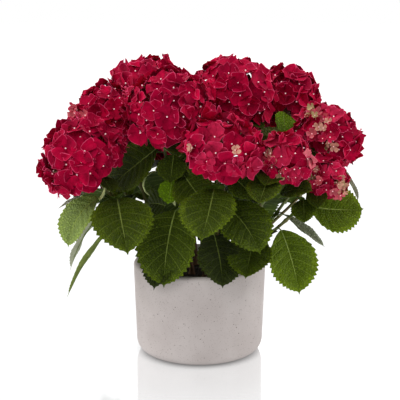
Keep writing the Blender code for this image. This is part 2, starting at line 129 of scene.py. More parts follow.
# Leaves given one by one: distance below the neck, heading, petiole, length, pitch, droop and roll.
HUNG_LEAVES = {
    "front": (
        (0.060, -100, 0.025, 0.125, -20, 10, -15),
        (0.090, -50, 0.025, 0.115, -20, 30, -20),
        (0.150, -80, 0.030, 0.110, -40, -10, 25),
        (0.030, 35, 0.030, 0.085, 5, 25, 0),
        (0.110, 60, 0.030, 0.100, -10, 30, 0),
    ),
    "front_right": (
        (0.025, -100, 0.035, 0.070, -20, 10, 5),
        (0.060, -35, 0.035, 0.060, 20, 20, -30),
        (0.030, 60, 0.030, 0.080, 5, 25, 0),
        (0.090, 75, 0.030, 0.105, -10, 30, 0),
    ),
    "centre_left": (
        (0.140, -110, 0.040, 0.130, -40, 40, -15),
        (0.040, 170, 0.035, 0.110, -40, 0, 50),
        (0.070, -55, 0.020, 0.100, -25, -10, -35),
        (0.165, -110, 0.040, 0.090, -40, 15, -10),
        (0.050, -10, 0.030, 0.090, 0, 25, 0),
    ),
    "left": (
        (0.055, -80, 0.025, 0.130, -30, 10, 10),
        (0.065, -135, 0.040, 0.105, -30, 45, -10),
        (0.095, -165, 0.045, 0.115, -50, 30, -30),
        (0.055, 195, 0.045, 0.060, -30, 30, 0),
        (0.130, -170, 0.050, 0.130, -40, 10, -25),
    ),
    "low_right": (
        (0.140, -100, 0.045, 0.105, -25, 0, 0),
        (0.125, -65, 0.045, 0.110, -50, 35, 5),
        (0.075, -20, 0.045, 0.090, 0, -10, -65),
        (0.035, -95, 0.025, 0.055, -35, 0, 0),
    ),
    "right": (
        (0.140, -15, 0.035, 0.090, -25, 20, 5),
        (0.040, -15, 0.045, 0.085, -35, 45, 20),
        (0.030, 205, 0.025, 0.070, 0, 20, -20),
    ),
    "right_back": (
        (0.030, -100, 0.030, 0.085, -15, 40, 0),
        (0.020, -35, 0.030, 0.075, 0, 35, 0),
    ),
    "top_right": (
        (0.025, -135, 0.030, 0.090, -5, 30, 0),
    ),
    "top_left": (
        (0.190, 120, 0.025, 0.100, 0, 15, 75),
    ),
}

# Looks of some leaves, by shoot and number: the tint, the width and length as shares of the blade's, and
# what is added to the blade's heading, pitch, droop and roll, in degrees.
LEAF_LOOKS = {
    ("front", 0): dict(tint="mid", width=0.93, length=0.98, turn=-1, lift=2, droop=10, roll=14),
    ("front", 1): dict(tint="mid", width=0.99, length=0.96, turn=-1, lift=4, droop=9),
    ("front", 2): dict(tint="shaded", width=1.02, length=0.86, turn=2, lift=3, droop=33, roll=-18),
    ("front_right", 0): dict(tint="deep"),
    ("centre_left", 0): dict(tint="mid", width=0.96, length=1.02, turn=2, lift=4, droop=14, roll=19),
    ("centre_left", 1): dict(tint="deep"),
    ("centre_left", 2): dict(tint="deep", width=0.9),
    ("centre_left", 3): dict(tint="shaded", width=0.86, length=1.27, turn=-9, lift=-5, droop=-6),
    ("centre_left", 6): dict(tint="deep", width=0.8),
    ("left", 0): dict(tint="mid", width=0.92, length=1.08, turn=1, lift=17, droop=16, roll=-15),
    ("left", 1): dict(tint="fresh", width=0.90, length=0.93, turn=-17, droop=8, roll=32),
    ("left", 2): dict(tint="pale", width=0.37, length=1.02, turn=-10, lift=8, droop=4),
    ("left", 3): dict(tint="pale", width=0.26, length=1.03, turn=-3, lift=8, droop=-19, roll=5),
    ("left", 4): dict(tint="fresh", width=0.19, length=1.17, turn=-10, lift=12, droop=12),
    ("low_right", 0): dict(tint="mid", width=0.95, length=0.94, turn=-1, lift=-2),
    ("low_right", 1): dict(tint="light", length=0.98, turn=4, lift=-9, droop=-21, roll=-26),
    ("low_right", 2): dict(tint="light", width=1.20, length=0.98, turn=16, lift=-14, droop=-12, roll=4),
    ("low_right", 3): dict(tint="mid", width=0.98, length=0.98, turn=2, lift=13, droop=21, roll=-6),
    ("right", 0): dict(tint="pale", width=0.30, length=1.02, turn=-25, lift=3, droop=-9, roll=-14),
    ("right", 1): dict(tint="pale", width=0.46, length=1.01, lift=5, roll=6),
    ("right", 4): dict(tint="deep"),
    ("right_back", 0): dict(tint="fresh"),
    ("right_back", 1): dict(tint="fresh"),
}

# Leaves of the rule that stand where the real plant is open.
OPEN_PLACES = (("right", 7), ("right_rear", 3), ("right_rear", 4))

# Small leaves by shoot: tint, width, then the same values as for the leaves given one by one.
SMALL_LEAVES = {
    "front": (("deep", 1.1, (0.035, -35, 0.025, 0.060, -28, 15, -35)),
              ("deep", 0.9, (0.030, 44, 0.005, 0.060, -29, 0, 0))),
    "centre_left": (("sunlit", 0.35, (0.132, 186, 0.060, 0.065, 26, -171, 0)),
                    ("sunlit", 0.50, (0.097, -140, 0.029, 0.040, -119, -12, 0)),
                    ("backlit", 1.1, (0.078, -120, 0.022, 0.046, -75, -12, 20)),
                    ("deep", 1.35, (0.036, -104, 0.014, 0.050, -68, -12, 0))),
    "left": (("sunlit", 1.00, (0.007, -24, 0.012, 0.042, -79, 60, 25)),),
    "right_back": (("backlit", 1.15, (0.006, -87, 0.046, 0.054, -40, 20, 32)),),
}

# Florets of a head: their radius, the share of young ones, how flat and how wide the head is drawn, how
# far it is moved aside and raised, how far its top sways aside as it rises, and the sine of the lowest
# floret's elevation. A head that differs from the plain one says how.
PLAIN_HEAD = dict(radius=0.0185, young=0.01, flatness=1.0, reach=0.98, aside=0.0, raised=0.0, sway=0.0,
                  lowest=-0.68)
HEAD_FLORETS = {
    "front": dict(radius=0.0180, young=0.00, flatness=0.78, raised=0.002),
    "front_right": dict(radius=0.0160, young=0.00, flatness=0.88),
    "centre_left": dict(radius=0.0180, young=0.00, reach=0.97, aside=0.002, raised=0.002),
    "left": dict(radius=0.0180, young=0.00, flatness=0.95, reach=0.94, aside=0.0025, raised=-0.004,
                 sway=0.16, lowest=-0.66),
    "low_right": dict(radius=0.0140, young=0.03, flatness=0.92, reach=0.94, aside=0.002, raised=0.002),
    "right": dict(radius=0.0160, young=0.00, flatness=0.88, aside=-0.005, raised=0.002, sway=-0.08,
                  lowest=-0.55),
    "top_right": dict(radius=0.0176, young=0.00, aside=-0.008, lowest=-0.80),
    "left_back": dict(radius=0.0175, young=0.00, flatness=0.95, reach=0.92, aside=-0.010, raised=-0.005,
                      sway=0.20, lowest=-0.86),
    "right_back": dict(radius=0.0180, young=0.00, flatness=0.93, reach=0.93, aside=-0.007, raised=-0.001,
                       sway=-0.06, lowest=-0.80),
    "top_left": dict(young=0.00, reach=0.95, aside=-0.010, raised=0.001),
    "right_rear": dict(radius=0.0175, flatness=0.90, reach=0.88, aside=-0.015, raised=0.015, lowest=-0.35),
}

# How often each tint comes on a head's open florets.
OPEN_TINTS = ("crimson", "ruby", "deep", "rose", "blushed")
TINT_WEIGHTS = {
    "front": (12, 3, 1, 2, 0),
    "front_right": (6, 3, 1, 6, 1),
    "low_right": (5, 3, 1, 6, 1),
    "right": (6, 4, 2, 5, 0),
}
PLAIN_WEIGHTS = (7, 7, 4, 0, 0)

# Where young florets crowd together on some heads: directions from the head's middle.
YOUNG_SPOTS = {
    "front_right": ((0.20, -0.90, -0.35), (-0.75, -0.65, 0.20)),
    "low_right": ((-0.70, -0.60, 0.45), (-0.55, -0.75, 0.15), (-0.80, -0.60, -0.10), (0.30, -0.80, -0.50),
                  (0.50, -0.80, -0.25)),
    "right": ((-0.45, -0.45, 0.80), (-0.20, -0.95, 0.05)),
    "left_back": ((-0.80, -0.60, 0.20),),
}
YOUNG_SPREAD = 0.95  # cosine of the angle that a spot takes in
YOUNG_TINTS = ("cream", "blushed", "rose", "sage")
YOUNG_WEIGHTS = {"left_back": (3, 6, 4, 0)}
PLAIN_YOUNG_WEIGHTS = (4, 3, 3, 2)
BUDS = {
    "front": ((-0.75, -0.60, 0.15), (0.30, -0.90, 0.25)),
    "left_back": ((-0.90, -0.40, 0.10), (-0.95, -0.30, -0.15)),
    "low_right": ((-0.50, -0.70, 0.50), (0.40, -0.80, -0.45)),
}
CROWD = 8  # an open floret and the young ones that stand on it

# Heads whose florets are joined into one piece.
FLORET_PIECES = {
    "florets_left": ("left", "left_back", "back_left"),
    "florets_middle": ("centre_left", "front", "front_right"),
    "florets_right": ("right", "low_right", "top_right", "right_back"),
    "florets_back": ("top_left", "back", "back_right", "right_rear"),
}


# Properties that a user may change.

def size_property(name, description, default, low=0.0, high=1.0):
    return FloatProperty(name=name, description=description, default=default, min=low, max=high,
                         unit="LENGTH", precision=4)


def share_property(name, description, default, low=0.0, high=1.0):
    return FloatProperty(name=name, description=description, default=default, min=low, max=high,
                         subtype="FACTOR")


def colour_property(name, description, default):
    return FloatVectorProperty(name=name, description=description, default=default, size=3, min=0.0,
                               max=1.0, subtype="COLOR")


class PotSettings(bpy.types.PropertyGroup):
    """Sizes and colours of the pot and its compost."""
    height: size_property("Height", "Height of the pot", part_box("pot")[1].z)
    rim_radius: size_property("Rim radius", "Outer radius at the rim", 0.110)
    base_radius: size_property("Base radius", "Where the wall's line meets the ground", 0.1047)
    wall: size_property("Wall", "Thickness of the wall", 0.0125)
    floor: size_property("Floor", "Thickness of the floor", 0.016)
    corner: size_property("Corner", "Radius of the outer lower corner", 0.020)
    inner_corner: size_property("Inner corner", "Radius of the inner lower corner", 0.012)
    sides: IntProperty(name="Sides", description="Steps round the pot", default=160, min=16, max=512)
    concrete: colour_property("Concrete", "Main colour of the concrete", (0.61, 0.55, 0.53))
    patches: colour_property("Patches", "Colour of its darker patches", (0.54, 0.48, 0.46))
    compost: colour_property("Compost", "Colour of the compost", (0.030, 0.019, 0.013))
    crumbs: IntProperty(name="Crumbs", description="Loose crumbs on the compost", default=900, min=0,
                        max=4000)


class StemSettings(bpy.types.PropertyGroup):
    """Sizes and colours of the canes, shoots and stalks."""
    bark_relief: size_property("Bark relief", "Depth of the bark's ridges", 0.0004)
    swelling: size_property("Node swelling", "How far a shoot swells where leaves join it", 0.0011)
    petiole: size_property("Petiole radius", "Radius of a leaf stalk at the shoot", 0.0015)
    pedicel: size_property("Pedicel radius", "Radius of a floret's stalk", 0.0006)
    bark: colour_property("Bark", "Colour of the bark", (0.17, 0.085, 0.045))
    green: colour_property("Green", "Colour of the green shoots", (0.15, 0.22, 0.045))
    blush: colour_property("Blush", "Reddish colour that the shoots have in places", (0.17, 0.10, 0.04))


class LeafSettings(bpy.types.PropertyGroup):
    """Shape and colours of the leaves."""
    tooth: share_property("Teeth", "Depth of the teeth, as a share of the leaf's length", 0.020)
    quilting: share_property("Quilting", "Rise between the side veins, as a share of the length", 0.014)
    thickness: share_property("Thickness", "Thickness of the blade, as a share of its length", 0.0045)
    ripple: share_property("Ripple", "Waviness of the margin, as a share of the length", 0.016)
    blade: colour_property("Blade", "Colour of the blade", (0.038, 0.061, 0.0009))
    margin: colour_property("Margin", "Brighter colour along the margin", (0.15, 0.225, 0.003))
    vein: colour_property("Veins", "Colour of the midrib and side veins", (0.24, 0.31, 0.060))
    # The plain underside is the shaded copy of the lit one: painted shade on undersides that face away from
    # the light.
    underside: colour_property("Underside", "Colour of the blade's underside", (0.045, 0.075, 0.008))
    lit_underside: colour_property("Lit underside", "Colour of the undersides that the light reaches",
                                   (0.27, 0.34, 0.09))
    backlit: colour_property("Backlit", "Colour of young blades with the light behind them",
                             (0.16, 0.30, 0.002))
    # Painted sheen: the pale grey-green that skimming light gives a blade, laid on pale and fresh blades and
    # on the undersides of pale ones.
    silvered: colour_property("Silvered", "Colour of blades that the light skims", (0.62, 0.66, 0.47))
    sunlit: colour_property("Sunlit", "Colour of small leaves that catch the sun", (0.85, 0.95, 0.42))


class FloretSettings(bpy.types.PropertyGroup):
    """Shape and colours of the florets."""
    cover: FloatProperty(name="Spacing", description="Head surface per floret, in floret radii squared",
                         default=2.15, min=0.5, max=8.0)
    crimson: colour_property("Crimson", "Main colour of the sepals", (0.60, 0.001, 0.049))
    deep: colour_property("Deep", "Colour of the darker florets", (0.33, 0.0, 0.030))
    # Pink of the painted highlights along the sepals' edges; the pinker florets also mix it into their own
    # colour.
    rim: colour_property("Rim", "Paler colour along the sepals' edges", (1.0, 0.13, 0.30))
    young: colour_property("Young", "Warm cream of the half-open florets", (0.88, 0.52, 0.37))
    sage: colour_property("Sage", "Greenish colour of the youngest florets", (0.56, 0.56, 0.24))
    bead: colour_property("Bead", "Colour of the small bud at a floret's centre", (1.0, 0.68, 0.72))


class StageSettings(bpy.types.PropertyGroup):
    """Floor, lights and camera."""
    floor_size: size_property("Floor", "Width of the floor", 14.0, 1.0, 50.0)
    floor: colour_property("Floor colour", "Colour of the floor", (0.150, 0.158, 0.166))
    distance: size_property("Camera distance", "Distance from the camera to the aim", 2.0, 0.5, 10.0)
    elevation: FloatProperty(name="Camera elevation", description="Height of the camera as an angle",
                             default=math.radians(12.65), subtype="ANGLE")
    aim: size_property("Aim", "Height that the camera looks at", 0.255)
    surround: FloatProperty(name="Surround", description="Strength of the light from all round",
                            default=0.45, min=0.0, max=2.0)
    glow: FloatProperty(name="Floor glow", description="How far the floor shines by itself", default=0.76,
                        min=0.0, max=2.0)
    focal: FloatProperty(name="Focal length", description="Focal length on a 36 mm sensor",
                         default=109.0, unit="CAMERA")


# Small helpers for modelling.

def deselect():
    if bpy.context.mode != "OBJECT":
        bpy.ops.object.mode_set(mode="OBJECT")
    bpy.ops.object.select_all(action="DESELECT")


def activate(item):
    """Selects one object alone."""
    deselect()
    bpy.context.view_layer.objects.active = item
    item.select_set(True)


def edit(item):
    """Opens an object in edit mode with nothing selected."""
    activate(item)
    bpy.ops.object.mode_set(mode="EDIT")
    bpy.ops.mesh.select_all(action="DESELECT")


def close_edit():
    """Turns every face outwards and leaves edit mode."""
    bpy.ops.mesh.select_all(action="SELECT")
    bpy.ops.mesh.normals_make_consistent(inside=False)
    bpy.ops.object.mode_set(mode="OBJECT")


def select_top(item):
    """Selects the faces that look up."""
    bpy.ops.mesh.select_mode(type="FACE")
    bm = bmesh.from_edit_mesh(item.data)
    for face in bm.faces:
        face.select_set(face.normal.z > 0.9)
    bm.select_flush_mode()
    bmesh.update_edit_mesh(item.data)


def bevel_ring(item, height, radius, offset, segments):
    """Rounds the edges that lie level on a ring of a radius at a height."""
    bpy.ops.mesh.select_all(action="DESELECT")
    bpy.ops.mesh.select_mode(type="EDGE")
    bm = bmesh.from_edit_mesh(item.data)
    for edge in bm.edges:
        level = all(abs(vertex.co.z - height) < RING_SLACK for vertex in edge.verts)
        near = all(abs(vertex.co.xy.length - radius) < RING_SLACK for vertex in edge.verts)
        edge.select_set(level and near)
    bmesh.update_edit_mesh(item.data)
    bpy.ops.mesh.bevel(offset=offset, segments=segments, profile=0.5)


def add_grid(columns, rows):
    """A flat grid from -1 to 1, and each corner's column and row."""
    deselect()
    bpy.ops.mesh.primitive_grid_add(x_subdivisions=columns - 1, y_subdivisions=rows - 1, size=2)
    item = bpy.context.active_object
    where = [(round((vertex.co.x + 1) / 2 * (columns - 1)), round((vertex.co.y + 1) / 2 * (rows - 1)))
             for vertex in item.data.vertices]
    return item, where


def cell(face, where):
    """The column and row where a face of a grid starts."""
    return [min(where[corner][axis] for corner in face.vertices) for axis in (0, 1)]


def face_up(mesh):
    if sum(face.normal.z for face in mesh.polygons) < 0:
        mesh.flip_normals()


def thicken(item, thickness, back_slots):
    """Gives a sheet a back, whose finishes come a number of slots after those of its face."""
    activate(item)
    modifier = item.modifiers.new("Solidify", "SOLIDIFY")
    modifier.thickness = thickness
    modifier.offset = -1.0
    modifier.material_offset = back_slots
    modifier.use_even_offset = False
    bpy.ops.object.modifier_apply(modifier=modifier.name)


def active_piece(name):
    item = bpy.context.active_object
    item.name = name
    item.data.name = name
    return item


def smooth(item, degrees):
    activate(item)
    bpy.ops.object.shade_smooth_by_angle(angle=math.radians(degrees))


def finish_piece(item, nodes, materials):
    """Gives a finished piece its materials and its body, and hides the solids that it stands for."""
    item.data.materials.clear()
    for material in materials:
        item.data.materials.append(material)
    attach(item, BODY)
    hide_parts(*nodes)


def add_slots(item, count):
    """Empty slots of their own, so that a join keeps faces of different finishes apart."""
    for number in range(count):
        name = f"finish {number}"
        item.data.materials.append(bpy.data.materials.get(name) or bpy.data.materials.new(name))


class Model:
    """A model made once with Blender's tools and read back, so that copies of it can be joined."""

    def __init__(self, item):
        mesh = item.data
        points = np.empty(len(mesh.vertices) * 3)
        mesh.vertices.foreach_get("co", points)
        self.points = points.reshape(-1, 3)
        self.faces = [tuple(face.vertices) for face in mesh.polygons]
        self.slots = np.array([face.material_index for face in mesh.polygons])
        self.centres = [tuple(face.center) for face in mesh.polygons]
        bpy.data.objects.remove(item, do_unlink=True)


class Sheaf:
    """Copies of models gathered into one joined piece."""

    def __init__(self):
        self.points = []
        self.faces = []
        self.slots = []
        self.count = 0

    def add(self, model, points, slots=0):
        """Adds a copy that has its own points, with one material slot or a slot for each face."""
        first = self.count
        self.points.append(points)
        self.faces += [tuple(first + corner for corner in face) for face in model.faces]
        self.slots.append(np.broadcast_to(slots, len(model.faces)))
        self.count += len(points)

    def add_tube(self, model, line, radii, slot=0, relief=None):
        """Adds a tube model's copy, laid along a line with a radius at each ring."""
        line = np.array([tuple(point) for point in line])
        ways = np.gradient(line, axis=0)
        ways /= np.linalg.norm(ways, axis=1)[:, None]
        side = np.cross(ways[0], (0.0, 1.0, 0.0) if abs(ways[0][1]) < 0.8 else (1.0, 0.0, 0.0))
        firsts = []
        for way in ways:
            side = side - way * side.dot(way)
            side /= np.linalg.norm(side)
            firsts.append(side)
        firsts = np.array(firsts)
        seconds = np.cross(ways, firsts)
        x, y, z = model.points.T
        ring = np.rint(z).astype(int)
        radius = np.array(radii)[ring]
        if relief is not None:
            radius = radius + relief(ring, np.arctan2(y, x))
        across = x[:, None] * firsts[ring] + y[:, None] * seconds[ring]
        self.add(model, line[ring] + across * radius[:, None], slot)

    def finish(self, name, slot, nodes, materials, degrees=None):
        """Joins the copies into a finished piece, smooth where its faces meet below an angle."""
        mesh = bpy.data.meshes.new(name)
        mesh.from_pydata(np.concatenate(self.points).tolist(), [], self.faces)
        mesh.polygons.foreach_set("use_smooth", [True] * len(self.faces))
        mesh.update()
        item = bpy.data.objects.new(name, mesh)
        bpy.context.scene.collection.objects.link(item)
        if degrees:
            smooth(item, degrees)
        finish_piece(item, nodes, materials)
        mesh.polygons.foreach_set("material_index", np.concatenate(self.slots))


# Materials.

MIX_FIRST, MIX_SECOND, MIX_RESULT = 6, 7, 2  # a mix node's sockets for colours
EVEN = (1.0, 1.0, 1.0)

# Finishes: scale of the patches and of the grain, strength of the grain, roughness, height of the relief
# and specular level.
FINISHES = {
    "concrete": (16.0, 900.0, 0.10, 0.82, 0.00012, 0.5),
    "compost": (140.0, 1500.0, 0.9, 0.95, 0.0008, 0.5),
    "compost_crumb": (300.0, 1500.0, 0.9, 0.95, 0.0004, 0.5),
    "compost_fibre": (300.0, 1500.0, 0.6, 0.9, 0.0004, 0.5),
    "bark": (130.0, 900.0, 0.7, 0.8, 0.0006, 0.3),
    "shoot": (55.0, 700.0, 0.3, 0.5, 0.0003, 0.4),
    "petiole": (60.0, 700.0, 0.25, 0.5, 0.0002, 0.4),
    "blade": (55.0, 700.0, 0.4, 0.44, 0.0013, 0.13),
    "underside": (60.0, 700.0, 0.4, 0.7, 0.0004, 0.04),
    "underside_vein": (60.0, 700.0, 0.2, 0.65, 0.0002, 0.04),
    "sepal": (70.0, 200.0, 0.5, 0.55, 0.0012, 0.04),
    "sepal_rim": (90.0, 420.0, 0.3, 0.6, 0.0002, 0.05),
    "floret_bead": (300.0, 900.0, 0.2, 0.5, 0.0001, 0.5),
    "pedicel": (50.0, 500.0, 0.3, 0.6, 0.0002, 0.5),
    "floor": (5.0, 50.0, 0.0, 0.10, 0.0, 0.5),
}

# Specks in the concrete, sunk as small pores and painted darker the deeper they are, as shade in them: scale
# of their cells, size, tint and depth.
SPECKS = ((330.0, 0.20, (0.66, 0.62, 0.60), 0.6),
          (150.0, 0.13, (0.45, 0.41, 0.39), 1.2),
          (90.0, 0.085, (0.30, 0.27, 0.25), 2.5))
SPECK_CORE = 0.6  # share of a speck that has its full depth
PUFF_WIDTH = 0.26  # where the puffed cells of a leaf are at their full height
QUILT_CELLS = 230.0


def set_values(node, values):
    for socket, value in values.items():
        node.inputs[socket].default_value = value


def add_node(tree, kind, values=None, **traits):
    """A shader node with its traits, and with values for its sockets by name or number."""
    node = tree.nodes.new("ShaderNode" + kind)
    for trait, value in traits.items():
        setattr(node, trait, value)
    set_values(node, values or {})
    return node


def wire(tree, *links):
    """Links sockets: each link is a node and its output, then a node and its input."""
    for source, output, target, entry in links:
        tree.links.new(source.outputs[output], target.inputs[entry])


def new_group(name, entries, results):
    """A node group with sockets, given as names with their kinds, and its two end nodes."""
    group = bpy.data.node_groups.new(name, "ShaderNodeTree")
    for way, sockets in (("INPUT", entries), ("OUTPUT", results)):
        for socket, kind in sockets.items():
            group.interface.new_socket(name=socket, in_out=way, socket_type="NodeSocket" + kind)
    return group, group.nodes.new("NodeGroupInput"), group.nodes.new("NodeGroupOutput")


def mottle_group():
    """Two colours dealt out by soft noise, with a finer grain over them and its height."""
    group, enter, leave = new_group(
        "mottle",
        {"Colour": "Color", "Second colour": "Color", "Patch scale": "Float", "Grain scale": "Float",
         "Grain": "Float", "Stretch": "Vector"},
        {"Colour": "Color", "Height": "Float"})
    place = add_node(group, "TexCoord")
    stretch = add_node(group, "VectorMath", operation="MULTIPLY")
    patch = add_node(group, "TexNoise", {"Detail": 3.0})
    spread = add_node(group, "MapRange", {"From Min": 0.36, "From Max": 0.64})
    grain = add_node(group, "TexNoise", {"Detail": 2.0})
    centre = add_node(group, "Math", {1: 0.5}, operation="SUBTRACT")
    weight = add_node(group, "Math", {2: 1.0}, operation="MULTIPLY_ADD")
    mix = add_node(group, "Mix", data_type="RGBA")
    shade = add_node(group, "VectorMath", operation="SCALE")
    wire(group,
         (place, "Object", stretch, 0), (enter, "Stretch", stretch, 1),
         (stretch, 0, patch, "Vector"), (enter, "Patch scale", patch, "Scale"),
         (stretch, 0, grain, "Vector"), (enter, "Grain scale", grain, "Scale"),
         (patch, "Fac", spread, "Value"), (spread, "Result", mix, "Factor"),
         (enter, "Colour", mix, MIX_FIRST), (enter, "Second colour", mix, MIX_SECOND),
         (grain, "Fac", centre, 0), (centre, 0, weight, 0), (enter, "Grain", weight, 1),
         (mix, MIX_RESULT, shade, 0), (weight, 0, shade, "Scale"),
         (shade, 0, leave, "Colour"), (grain, "Fac", leave, "Height"))
    return group


def quilt_group():
    """Puffed cells with a sunken net between them: the net's painted shade laid on a colour, and its height.
    """
    group, enter, leave = new_group(
        "quilt",
        {"Colour": "Color", "Height": "Float", "Cell scale": "Float", "Net shade": "Float"},
        {"Colour": "Color", "Height": "Float"})
    place = add_node(group, "TexCoord")
    cells = add_node(group, "TexVoronoi", feature="DISTANCE_TO_EDGE")
    puff = add_node(group, "MapRange", {"From Max": PUFF_WIDTH}, interpolation_type="SMOOTHSTEP")
    shade = add_node(group, "MapRange")
    tint = add_node(group, "VectorMath", operation="SCALE")
    height = add_node(group, "Math", operation="ADD")
    wire(group,
         (place, "Object", cells, "Vector"), (enter, "Cell scale", cells, "Scale"),
         (cells, "Distance", puff, "Value"), (puff, "Result", shade, "Value"),
         (enter, "Net shade", shade, "To Min"), (enter, "Colour", tint, 0),
         (shade, "Result", tint, "Scale"), (puff, "Result", height, 0), (enter, "Height", height, 1),
         (tint, 0, leave, "Colour"), (height, 0, leave, "Height"))
    return group


GROUPS = {"mottle": mottle_group, "quilt": quilt_group}


def add_group(tree, name, values):
    """A node of one of the groups, which is made when it is first wanted."""
    group = bpy.data.node_groups.get(name) or GROUPS[name]()
    return add_node(tree, "Group", values, node_tree=group, name=name)


def mottled(name, colour, second, finish=None, stretch=EVEN):
    """A material of two mottled colours with a grain that also stands up a little."""
    patch_scale, grain_scale, grain, roughness, relief_height, specular = FINISHES[finish or name]
    material = bpy.data.materials.new(name)
    material.use_nodes = True
    tree = material.node_tree
    shader = tree.nodes["Principled BSDF"]
    set_values(shader, {"Roughness": roughness, "Specular IOR Level": specular})
    mottle = add_group(tree, "mottle", {
        "Colour": (*colour, 1.0), "Second colour": (*second, 1.0), "Patch scale": patch_scale,
        "Grain scale": grain_scale, "Grain": grain, "Stretch": stretch})
    relief = add_node(tree, "Bump", {"Strength": 1.0, "Distance": relief_height}, name="relief")
    wire(tree, (mottle, "Colour", shader, "Base Color"), (mottle, "Height", relief, "Height"),
         (relief, "Normal", shader, "Normal"))
    return material


def quilt(material, painted_net_shade):
    """Lays a net of sunken veins over a mottled material, darkened in the grooves as painted shade."""
    tree = material.node_tree
    nodes = tree.nodes
    net = add_group(tree, "quilt", {"Cell scale": QUILT_CELLS, "Net shade": painted_net_shade})
    wire(tree, (nodes["mottle"], "Colour", net, "Colour"), (nodes["mottle"], "Height", net, "Height"),
         (net, "Colour", nodes["Principled BSDF"], "Base Color"), (net, "Height", nodes["relief"], "Height"))


def scaled(colour, factor):
    return tuple(min(channel * factor, 1.0) for channel in colour)


def blend_colours(first, second, share):
    return tuple(a + (b - a) * share for a, b in zip(first, second))


def concrete_material(settings):
    """Cast concrete: soft patches, a fine grain, and dark specks sunk as small pores, their darkness painted
    shade.
    """
    material = mottled("concrete", settings.concrete, settings.patches)
    tree = material.node_tree
    place = add_node(tree, "TexCoord")
    colour = (tree.nodes["mottle"], "Colour")
    height = (tree.nodes["mottle"], "Height")
    for scale, size, tint, depth in SPECKS:
        cells = add_node(tree, "TexVoronoi", {"Scale": scale})
        mask = add_node(tree, "MapRange", {"From Min": size, "From Max": size * SPECK_CORE})
        mix = add_node(tree, "Mix", {MIX_SECOND: (*tint, 1.0)}, data_type="RGBA", blend_type="MULTIPLY")
        sink = add_node(tree, "Math", {1: -depth}, operation="MULTIPLY_ADD")
        wire(tree, (place, "Object", cells, "Vector"), (cells, "Distance", mask, "Value"),
             (mask, "Result", mix, "Factor"), (*colour, mix, MIX_FIRST),
             (mask, "Result", sink, 0), (*height, sink, 2))
        colour = (mix, MIX_RESULT)
        height = (sink, 0)
    wire(tree, (*colour, tree.nodes["Principled BSDF"], "Base Color"),
         (*height, tree.nodes["relief"], "Height"))
    return material


# The plant's rule: routes, leaves and where they settled.

def direction(heading, pitch):
    """A unit vector from a compass heading and a pitch above the horizontal, in radians."""
    flat = math.cos(pitch)
    return Vector((math.cos(heading) * flat, math.sin(heading) * flat, math.sin(pitch)))


class Route:
    """A smooth line from the soil to the inside of a flower head, with marks along its length."""

    SAMPLES = 96

    def __init__(self, head):
        x, y, z, width, height = head
        self.centre = Vector((x, y, z))
        self.width = width
        self.height = height
        self.outward = math.degrees(math.atan2(y, x))
        reach = math.hypot(x, y)
        tilt = math.radians(HEAD_TILT[0] + HEAD_TILT[1] * min(reach / HEAD_REACH, HEAD_REACH_LIMIT))
        self.axis = direction(math.atan2(y, x), math.pi / 2 - tilt)
        foot = Vector((x * CLUMP_SPREAD, y * CLUMP_SPREAD, SOIL_TOP + GAP))
        start = foot + Vector((0, 0, CANE_FLARE))
        end = self.centre - self.axis * height * ROUTE_END
        span = (end - start).length
        leave = Vector((x, y, LEAVE_RISE)).normalized()
        controls = (start, start + leave * span * LEAVE_PULL, end - self.axis * span * ARRIVE_PULL, end)
        self.points = [foot] + [bezier(controls, i / self.SAMPLES) for i in range(self.SAMPLES + 1)]
        self.marks = [0.0]
        for before, after in zip(self.points, self.points[1:]):
            self.marks.append(self.marks[-1] + (after - before).length)
        self.length = self.marks[-1]
        self.neck = self.length - height * NECK_DEPTH
        self.shoot_end = self.length - height * STALK_DEPTH - STALK_SHOWN

    def at(self, mark):
        mark = min(max(mark, 0.0), self.length)
        for i in range(1, len(self.marks)):
            if self.marks[i] >= mark:
                share = (mark - self.marks[i - 1]) / (self.marks[i] - self.marks[i - 1])
                return self.points[i - 1].lerp(self.points[i], share)
        return self.points[-1].copy()

    def on_head(self, outward, share):
        """A point on the head's dome, at a share of its radius, in a direction from its centre."""
        rise = outward.dot(self.axis)
        flat = outward - self.axis * rise
        height = self.height if rise > 0 else self.height * UNDERSIDE
        return self.centre + (flat * self.width + self.axis * rise * height) * share

    def depth_of(self, point):
        """Where a point lies in the head: 0 at its centre, 1 on its dome."""
        offset = point - self.centre
        rise = offset.dot(self.axis)
        flat = (offset - self.axis * rise).length
        height = self.height if rise > 0 else self.height * UNDERSIDE
        return math.hypot(flat / self.width, rise / height)

    def nearest_mark(self, point):
        return min(zip(self.marks, self.points), key=lambda pair: (pair[1] - point).length)[0]


def bezier(controls, t):
    a, b, c, d = controls
    s = 1 - t
    return a * s ** 3 + b * 3 * s * s * t + c * 3 * s * t * t + d * t ** 3


ROUTES = {name: Route(head) for name, head in HEADS.items()}


def blade_width(t):
    """Half width of a blade at a share of its length, as a share of its greatest half width."""
    if t <= 0.0 or t >= 1.0:
        return 0.0
    return math.sin(math.pi * t ** 0.8) ** 0.7


